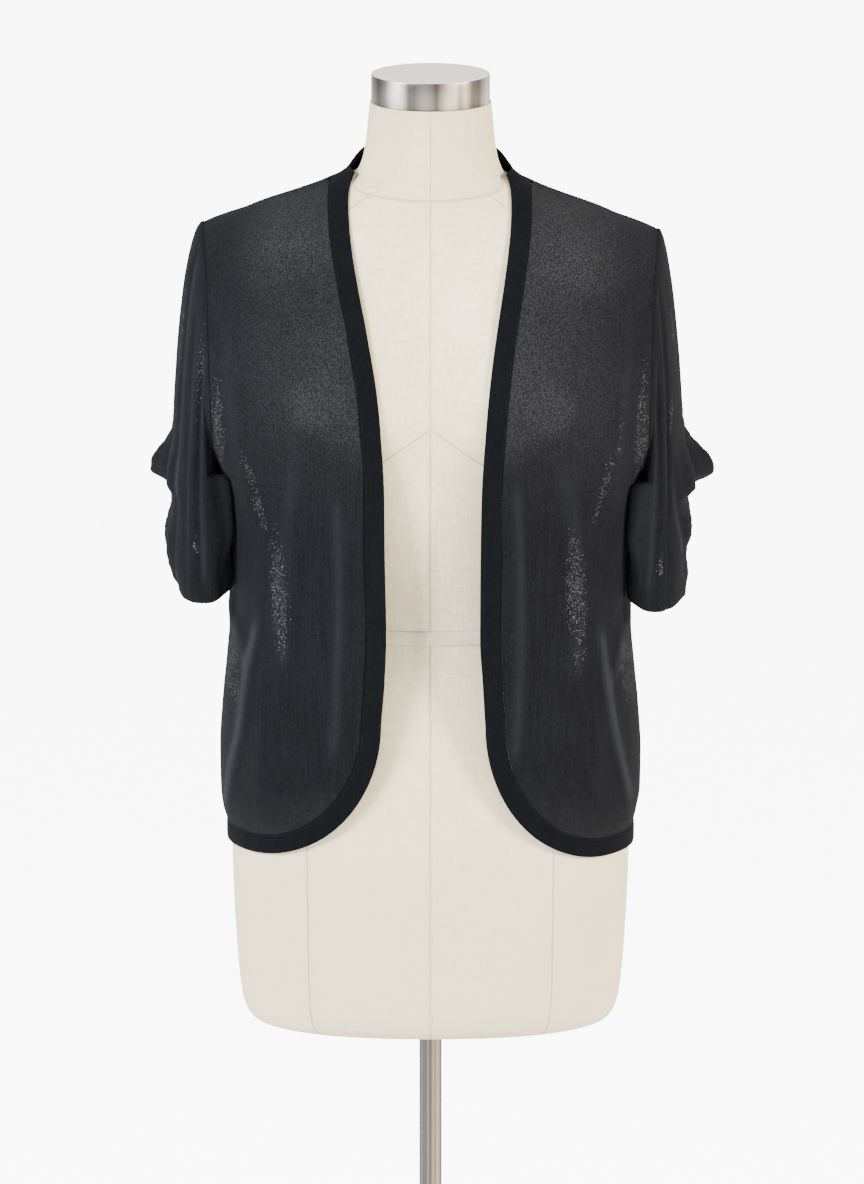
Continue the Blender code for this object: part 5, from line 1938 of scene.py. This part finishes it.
# %% [markdown]
# The yarn is a dull black with a little blue in it.  Its colour carries painted light: a painted
# highlight along the tops of the folds, the lit linen painted as showing through where it lies on the
# form, and painted sparkle in its open gaps.  All of that is worked into the colour of one material,
# so that the fronts, the back and the sleeves match along their seams.

# %% Colours of the knit
KNIT_DARK = (0.0006, 0.0008, 0.0015)
KNIT_LIGHT = (0.0053, 0.0062, 0.0092)
# Painted highlight for the fold tops
KNIT_RIDGE_HIGHLIGHT = (0.0170, 0.0192, 0.0245)
# Painted sparkle of the light through the open gaps
KNIT_PAINTED_SPARKLE = (0.150, 0.155, 0.162)
BAND_STITCH = (0.0085, 0.0094, 0.0120)
# Painted light of the lit linen seen through the knit
PAINTED_LINEN_THROUGH_KNIT = (0.036, 0.038, 0.042)
SHEEN_TINT = (0.75, 0.80, 0.95, 1.0)
SHEEN_ROUGHNESS = 0.45


def new_material(name):
    material = bpy.data.materials.new(name)
    material.use_nodes = True
    tree = Tree(material.node_tree)
    return material, tree, material.node_tree.nodes["Principled BSDF"]


def place_group(tree, group, **values):
    node = tree.add("ShaderNodeGroup", node_tree=group)
    for label, value in values.items():
        tree.join(value, node.inputs[label.replace("_", " ")])
    return node.outputs


def bump(tree, height, distance, strength=1.0, under=None):
    node = tree.add("ShaderNodeBump")
    node.inputs["Strength"].default_value = strength
    node.inputs["Distance"].default_value = distance
    tree.join(height, node.inputs["Height"])
    if under is not None:
        tree.join(under, node.inputs["Normal"])
    return node.outputs["Normal"]


def dull_yarn(shader, roughness, sheen, specular):
    """The numbers of a yarn that are the same all over."""
    shader.inputs["Roughness"].default_value = roughness
    shader.inputs["Sheen Weight"].default_value = sheen
    shader.inputs["Sheen Roughness"].default_value = SHEEN_ROUGHNESS
    shader.inputs["Sheen Tint"].default_value = SHEEN_TINT
    shader.inputs["Specular IOR Level"].default_value = specular


def point_number(tree, name):
    """A number that the mesh keeps at each of its points."""
    return tree.add("ShaderNodeAttribute", attribute_name=name).outputs["Fac"]


print("the knit runs from", KNIT_DARK, "to", KNIT_LIGHT)

# %% Materials of the cloth
PAINTED_THROUGH_SHARE = 0.8
RIDGE_HIGHLIGHT_POWER = 3.0
RIDGE_HIGHLIGHT_SHARE = 0.80
PAINTED_SPARKLE_SHARE = 0.8
STITCH_SHARE = 0.45
LOOP_DEPTH = 0.00028
BAND_LOOP_DEPTH = 0.00022
STITCH_DEPTH = 0.0006


def knit_material(name, wale=0.0013, course=0.0010):
    material, tree, shader = new_material(name)
    sheer, near = point_number(tree, "sheer"), point_number(tree, "painted_through_light")
    knit = place_group(tree, FINE_KNIT, Wale=wale, Course=course, Sheer=sheer, Near_form=near)
    tone = tree.steps(knit["Tone"], 0.34, 0.66)
    # The loop height darkens the low places between the loops as painted shade, over the yarn's uneven
    # tone
    shade = tree.math("MULTIPLY_ADD", knit["Height"], 0.30, tree.math("MULTIPLY", tone, 0.70))
    colour = tree.mix(shade, KNIT_DARK, KNIT_LIGHT)
    # Painted light: the lit linen showing through the knit where it lies on the form
    through = tree.math("MULTIPLY", knit["Through"], PAINTED_THROUGH_SHARE)
    colour = tree.mix(through, colour, PAINTED_LINEN_THROUGH_KNIT)
    # Painted highlight: the fold tops are painted lighter for the light that they catch
    ridge = tree.math("POWER", point_number(tree, "ridge"), RIDGE_HIGHLIGHT_POWER)
    colour = tree.mix(tree.math("MULTIPLY", ridge, RIDGE_HIGHLIGHT_SHARE), colour, KNIT_RIDGE_HIGHLIGHT)
    # Painted sparkle: the light through the open gaps is painted pale
    painted_sparkle = tree.math("MULTIPLY", knit["Glint"], PAINTED_SPARKLE_SHARE)
    tree.join(tree.mix(painted_sparkle, colour, KNIT_PAINTED_SPARKLE), shader.inputs["Base Color"])
    dull_yarn(shader, roughness=0.88, sheen=0.018, specular=0.10)
    tree.join(knit["Cover"], shader.inputs["Alpha"])
    tree.join(bump(tree, knit["Height"], LOOP_DEPTH, 0.8), shader.inputs["Normal"])
    return material


def band_material(name):
    material, tree, shader = new_material(name)
    knit = place_group(tree, FINE_KNIT, Wale=0.0010, Course=0.0009)
    stitch = place_group(tree, STITCHES)
    tone = tree.steps(knit["Tone"], 0.30, 0.72)
    # The loop height darkens the low places between the loops as painted shade, over the yarn's uneven
    # tone
    shade = tree.math("MULTIPLY_ADD", knit["Height"], 0.25, tree.math("MULTIPLY", tone, 0.45))
    colour = tree.mix(shade, KNIT_DARK, KNIT_LIGHT)
    linked = tree.math("MULTIPLY", stitch["Mask"], STITCH_SHARE)
    tree.join(tree.mix(linked, colour, BAND_STITCH), shader.inputs["Base Color"])
    dull_yarn(shader, roughness=0.90, sheen=0.015, specular=0.06)
    fine = bump(tree, knit["Height"], BAND_LOOP_DEPTH, 0.7)
    tree.join(bump(tree, stitch["Height"], STITCH_DEPTH, 0.8, fine), shader.inputs["Normal"])
    return material


KNIT_FINISH = knit_material("sheer_dark_knit")
BAND_FINISH = band_material("doubled_dark_knit")
for piece in body + sleeves:
    piece.data.materials.append(KNIT_FINISH)
for piece in bands:
    piece.data.materials.append(BAND_FINISH)
print("cloth finishes:", KNIT_FINISH.name, "and", BAND_FINISH.name)

# %% [markdown]
# The linen is one cream cover with seams pressed into it: down the middle, down the sides and over
# the bust, and one round the foot of the neck.  Real seams could be cut into the mesh, but they are
# less than two millimetres wide, so a bump is enough, with painted shade in its valley.  The cover is
# painted a little greyer low down and at the neck, as painted shade where less of the warm light lands.

# %% Material of the form's linen
LINEN_SHADE = (0.800, 0.705, 0.470)
LINEN_LIGHT = (0.930, 0.875, 0.640)
LINEN_LOW = (0.700, 0.610, 0.430)
# The light falls off to the hips and to the neck: heights where it starts and ends
LOW_FROM = (1.120, 0.760)
NECK_FROM_TO = (1.470, 1.560)
TURN_LENGTH = 1.05
CENTRE_FRONT = 0.75
CENTRE_BACK = 0.25
SIDES = [0.0, 0.5, 1.0]
PRINCESS_TURN = 54.0
BUST_SEAM_TOP = 1.2630
BUST_SEAM_SLOPE = 0.69
NECK_SEAM_HEIGHT = 1.4850
NECK_SEAM_SLOPE = 0.270
LOW_SHARE = 0.62
SEAM_PAINTED_SHADE = (0.50, 0.455, 0.375)
SEAM_PAINTED_SHADE_SHARE = 0.45
SEAM_DEPTH = 0.0009
WEAVE_DEPTH = 0.00025
TAPE_SHADE = (0.76, 0.69, 0.52)
TAPE_LIGHT = (0.90, 0.85, 0.69)
TAPE_DEPTH = 0.0003


def linen_material():
    material, tree, shader = new_material("cream_linen")
    weave = place_group(tree, WEAVE)
    along, _ = cloth_places(tree)
    _, x, y, z = object_places(tree)
    seams = []
    # Shares of the way round: centre front and back, both sides, and four princess seams
    angles = [CENTRE_FRONT, CENTRE_BACK, *SIDES]
    for middle in (CENTRE_FRONT, CENTRE_BACK):
        angles += [middle - (90 - PRINCESS_TURN) / 360, middle + (90 - PRINCESS_TURN) / 360]
    tilt = tree.math("MULTIPLY_ADD", y, -NECK_SEAM_SLOPE, z)
    on_neck = tree.math("GREATER_THAN", tilt, NECK_SEAM_HEIGHT)
    for k, share in enumerate(angles):
        off = tree.math("MULTIPLY", tree.math("SUBTRACT", along, share), TURN_LENGTH)
        # The neck has only the seams at the centre front and centre back
        seams.append(off if k < 2 else tree.math("ADD", tree.math("ABSOLUTE", off), on_neck))
    slope = tree.math("MULTIPLY_ADD", tree.math("ABSOLUTE", x), BUST_SEAM_SLOPE, z)
    behind = tree.math("GREATER_THAN", y, 0.0)
    seams.append(tree.math("ADD", tree.math("SUBTRACT", slope, BUST_SEAM_TOP), behind))
    seams.append(tree.math("SUBTRACT", tilt, NECK_SEAM_HEIGHT))
    nearest = seams[0]
    for seam in seams[1:]:
        nearest = tree.math("MINIMUM", tree.math("ABSOLUTE", nearest), tree.math("ABSOLUTE", seam))
    seam = place_group(tree, COVER_SEAM, Distance=nearest)
    tone = tree.steps(weave["Tone"], 0.25, 0.85)
    colour = tree.mix(tone, LINEN_SHADE, LINEN_LIGHT)
    low = tree.math("SUBTRACT", 1.0, tree.steps(z, LOW_FROM[1], LOW_FROM[0]))
    dim = tree.math("MAXIMUM", low, tree.steps(z, *NECK_FROM_TO))
    colour = tree.mix(tree.math("MULTIPLY", dim, LOW_SHARE), colour, LINEN_LOW)
    # Painted shade in the valleys of the seams
    colour = tree.mix(tree.math("MULTIPLY", seam["Valley"], SEAM_PAINTED_SHADE_SHARE), colour, SEAM_PAINTED_SHADE)
    tree.join(colour, shader.inputs["Base Color"])
    shader.inputs["Roughness"].default_value = 0.86
    shader.inputs["Specular IOR Level"].default_value = 0.25
    fine = bump(tree, weave["Height"], WEAVE_DEPTH, 0.7)
    tree.join(bump(tree, seam["Height"], SEAM_DEPTH, 1.0, fine), shader.inputs["Normal"])
    return material


def tape_material():
    material, tree, shader = new_material("woven_tape")
    weave = place_group(tree, WEAVE, Thread=0.0008)
    tone = tree.steps(weave["Tone"], 0.25, 0.85)
    tree.join(tree.mix(tone, TAPE_SHADE, TAPE_LIGHT), shader.inputs["Base Color"])
    shader.inputs["Roughness"].default_value = 0.84
    tree.join(bump(tree, weave["Height"], TAPE_DEPTH, 0.8), shader.inputs["Normal"])
    return material


form.data.materials.append(linen_material())
tape.data.materials.append(tape_material())
print("linen:", form.data.materials[0].name, "and", tape.data.materials[0].name)

# %% [markdown]
# Steel shows the room round it, and this studio is bare.  A room of dark and pale walls could be
# built for it, but that room would also light the cloth.  So the dark and pale uprights that such a
# room would draw are given to the steel's own colour, placed by the turn round its axis.

# %% Painted reflections on the steel
# Each band is a painted reflection, a turn and a colour, from the wearer's right over the front and then
# over the back
DARK = (0.055, 0.054, 0.051)
MIDDLE = (0.20, 0.193, 0.178)
PALE = (0.88, 0.87, 0.85)
WARM = (0.66, 0.55, 0.43)
BROWN = (0.135, 0.106, 0.080)
TAN = (0.34, 0.275, 0.210)
CAP_PAINTED_REFLECTIONS = [
    (-178, PALE), (-163, MIDDLE), (-151, DARK), (-140, MIDDLE), (-130, PALE), (-124, PALE),
    (-112, DARK), (-106, DARK), (-98, MIDDLE), (-92, MIDDLE), (-84, DARK), (-72, WARM), (-66, WARM),
    (-60, MIDDLE),
    (-54, WARM), (-46, BROWN), (-35, BROWN), (-18, PALE), (20, MIDDLE), (40, DARK), (62, PALE),
    (84, MIDDLE), (104, DARK), (126, PALE), (150, MIDDLE),
]
POLE_PAINTED_REFLECTIONS = [
    (-172, DARK), (-158, DARK), (-142, MIDDLE), (-132, DARK), (-112, DARK), (-102, MIDDLE), (-94, DARK),
    (-84, BROWN), (-76, TAN), (-68, BROWN), (-50, TAN), (-40, TAN), (-30, BROWN), (-8, BROWN),
    (24, DARK), (52, MIDDLE), (78, DARK), (102, TAN), (132, DARK), (158, MIDDLE),
]
PLATE_PAINTED_REFLECTIONS = [(-170, MIDDLE), (-120, PALE), (-60, MIDDLE), (0, PALE), (60, MIDDLE), (120, PALE)]


def banded(tree, turn, bands):
    """A colour ramp of painted reflections round the axis, from -180 to 180 degrees."""
    share = tree.math("ADD", turn, 0.5)
    ramp = tree.add("ShaderNodeValToRGB")
    tree.join(share, ramp.inputs[0])
    stops = ramp.color_ramp.elements
    while len(stops) < len(bands):
        stops.new(0.5)
    for stop, (degrees, colour) in zip(stops, bands):
        stop.position = degrees / 360 + 0.5
        stop.color = (*colour, 1.0)
    return ramp.outputs[0]


print("bands on the cap:", len(CAP_PAINTED_REFLECTIONS))

# %% Materials of the steel
STEEL_BRUSHED = (0.40, 0.385, 0.36)
STEEL_TOP_PAINTED_LIGHT = (0.86, 0.86, 0.855)
PLATE_TOP_PAINTED_LIGHT = (0.62, 0.615, 0.605)
TOP_EDGE = 0.0006
TOP_METAL_OFF = 0.8
LINE_DEPTH = 0.00006
# Higher than all else, for a piece that has no top in sight
HIGHER_THAN_ALL = 2.0


def steel_material(name, bands, flat_from, painted_top_light, roughness, streaks=2.2):
    """Brushed steel with upright bands of painted reflection on its side and a pale painted top."""
    material, tree, shader = new_material(name)
    brushed = place_group(tree, BRUSHED, Streaks=streaks)
    _, _, _, z = object_places(tree)
    side = banded(tree, brushed["Turn"], bands)
    # The brushed lines darken the colour a little, and the upright streaks add a faint painted
    # reflection
    painted_streak = tree.math("MULTIPLY", brushed["Streak"], 0.06)
    shade = tree.math("MULTIPLY_ADD", brushed["Height"], 0.16, painted_streak)
    side = tree.mix(shade, side, STEEL_BRUSHED)
    on_top = tree.steps(z, flat_from - TOP_EDGE, flat_from)
    tree.join(tree.mix(on_top, side, painted_top_light), shader.inputs["Base Color"])
    # The top is painted pale and most of its metal is turned off, so that the lamps above light it as a
    # painted stand-in for its bright reflection
    tree.join(tree.math("MULTIPLY_ADD", on_top, -TOP_METAL_OFF, 1.0), shader.inputs["Metallic"])
    spread = tree.math("MULTIPLY_ADD", brushed["Wear"], 0.12, roughness)
    tree.join(spread, shader.inputs["Roughness"])
    tree.join(bump(tree, brushed["Height"], LINE_DEPTH, 0.6), shader.inputs["Normal"])
    return material


cap_steel = steel_material(
    "cap_brushed_steel", CAP_PAINTED_REFLECTIONS, CAP_TOP, STEEL_TOP_PAINTED_LIGHT, roughness=0.30, streaks=3.4
)
pole_steel = steel_material(
    "pole_brushed_steel", POLE_PAINTED_REFLECTIONS, HIGHER_THAN_ALL, STEEL_TOP_PAINTED_LIGHT, roughness=0.26, streaks=1.9
)
plate_steel = steel_material(
    "plate_brushed_steel", PLATE_PAINTED_REFLECTIONS, BASE_HEIGHT, PLATE_TOP_PAINTED_LIGHT, roughness=0.30, streaks=1.2
)
for piece, finish in ((cap, cap_steel), (pole, pole_steel), (base, plate_steel)):
    piece.data.materials.append(finish)
print("materials:", ", ".join(sorted(m.name for m in bpy.data.materials if m.users)))

# %% [markdown]
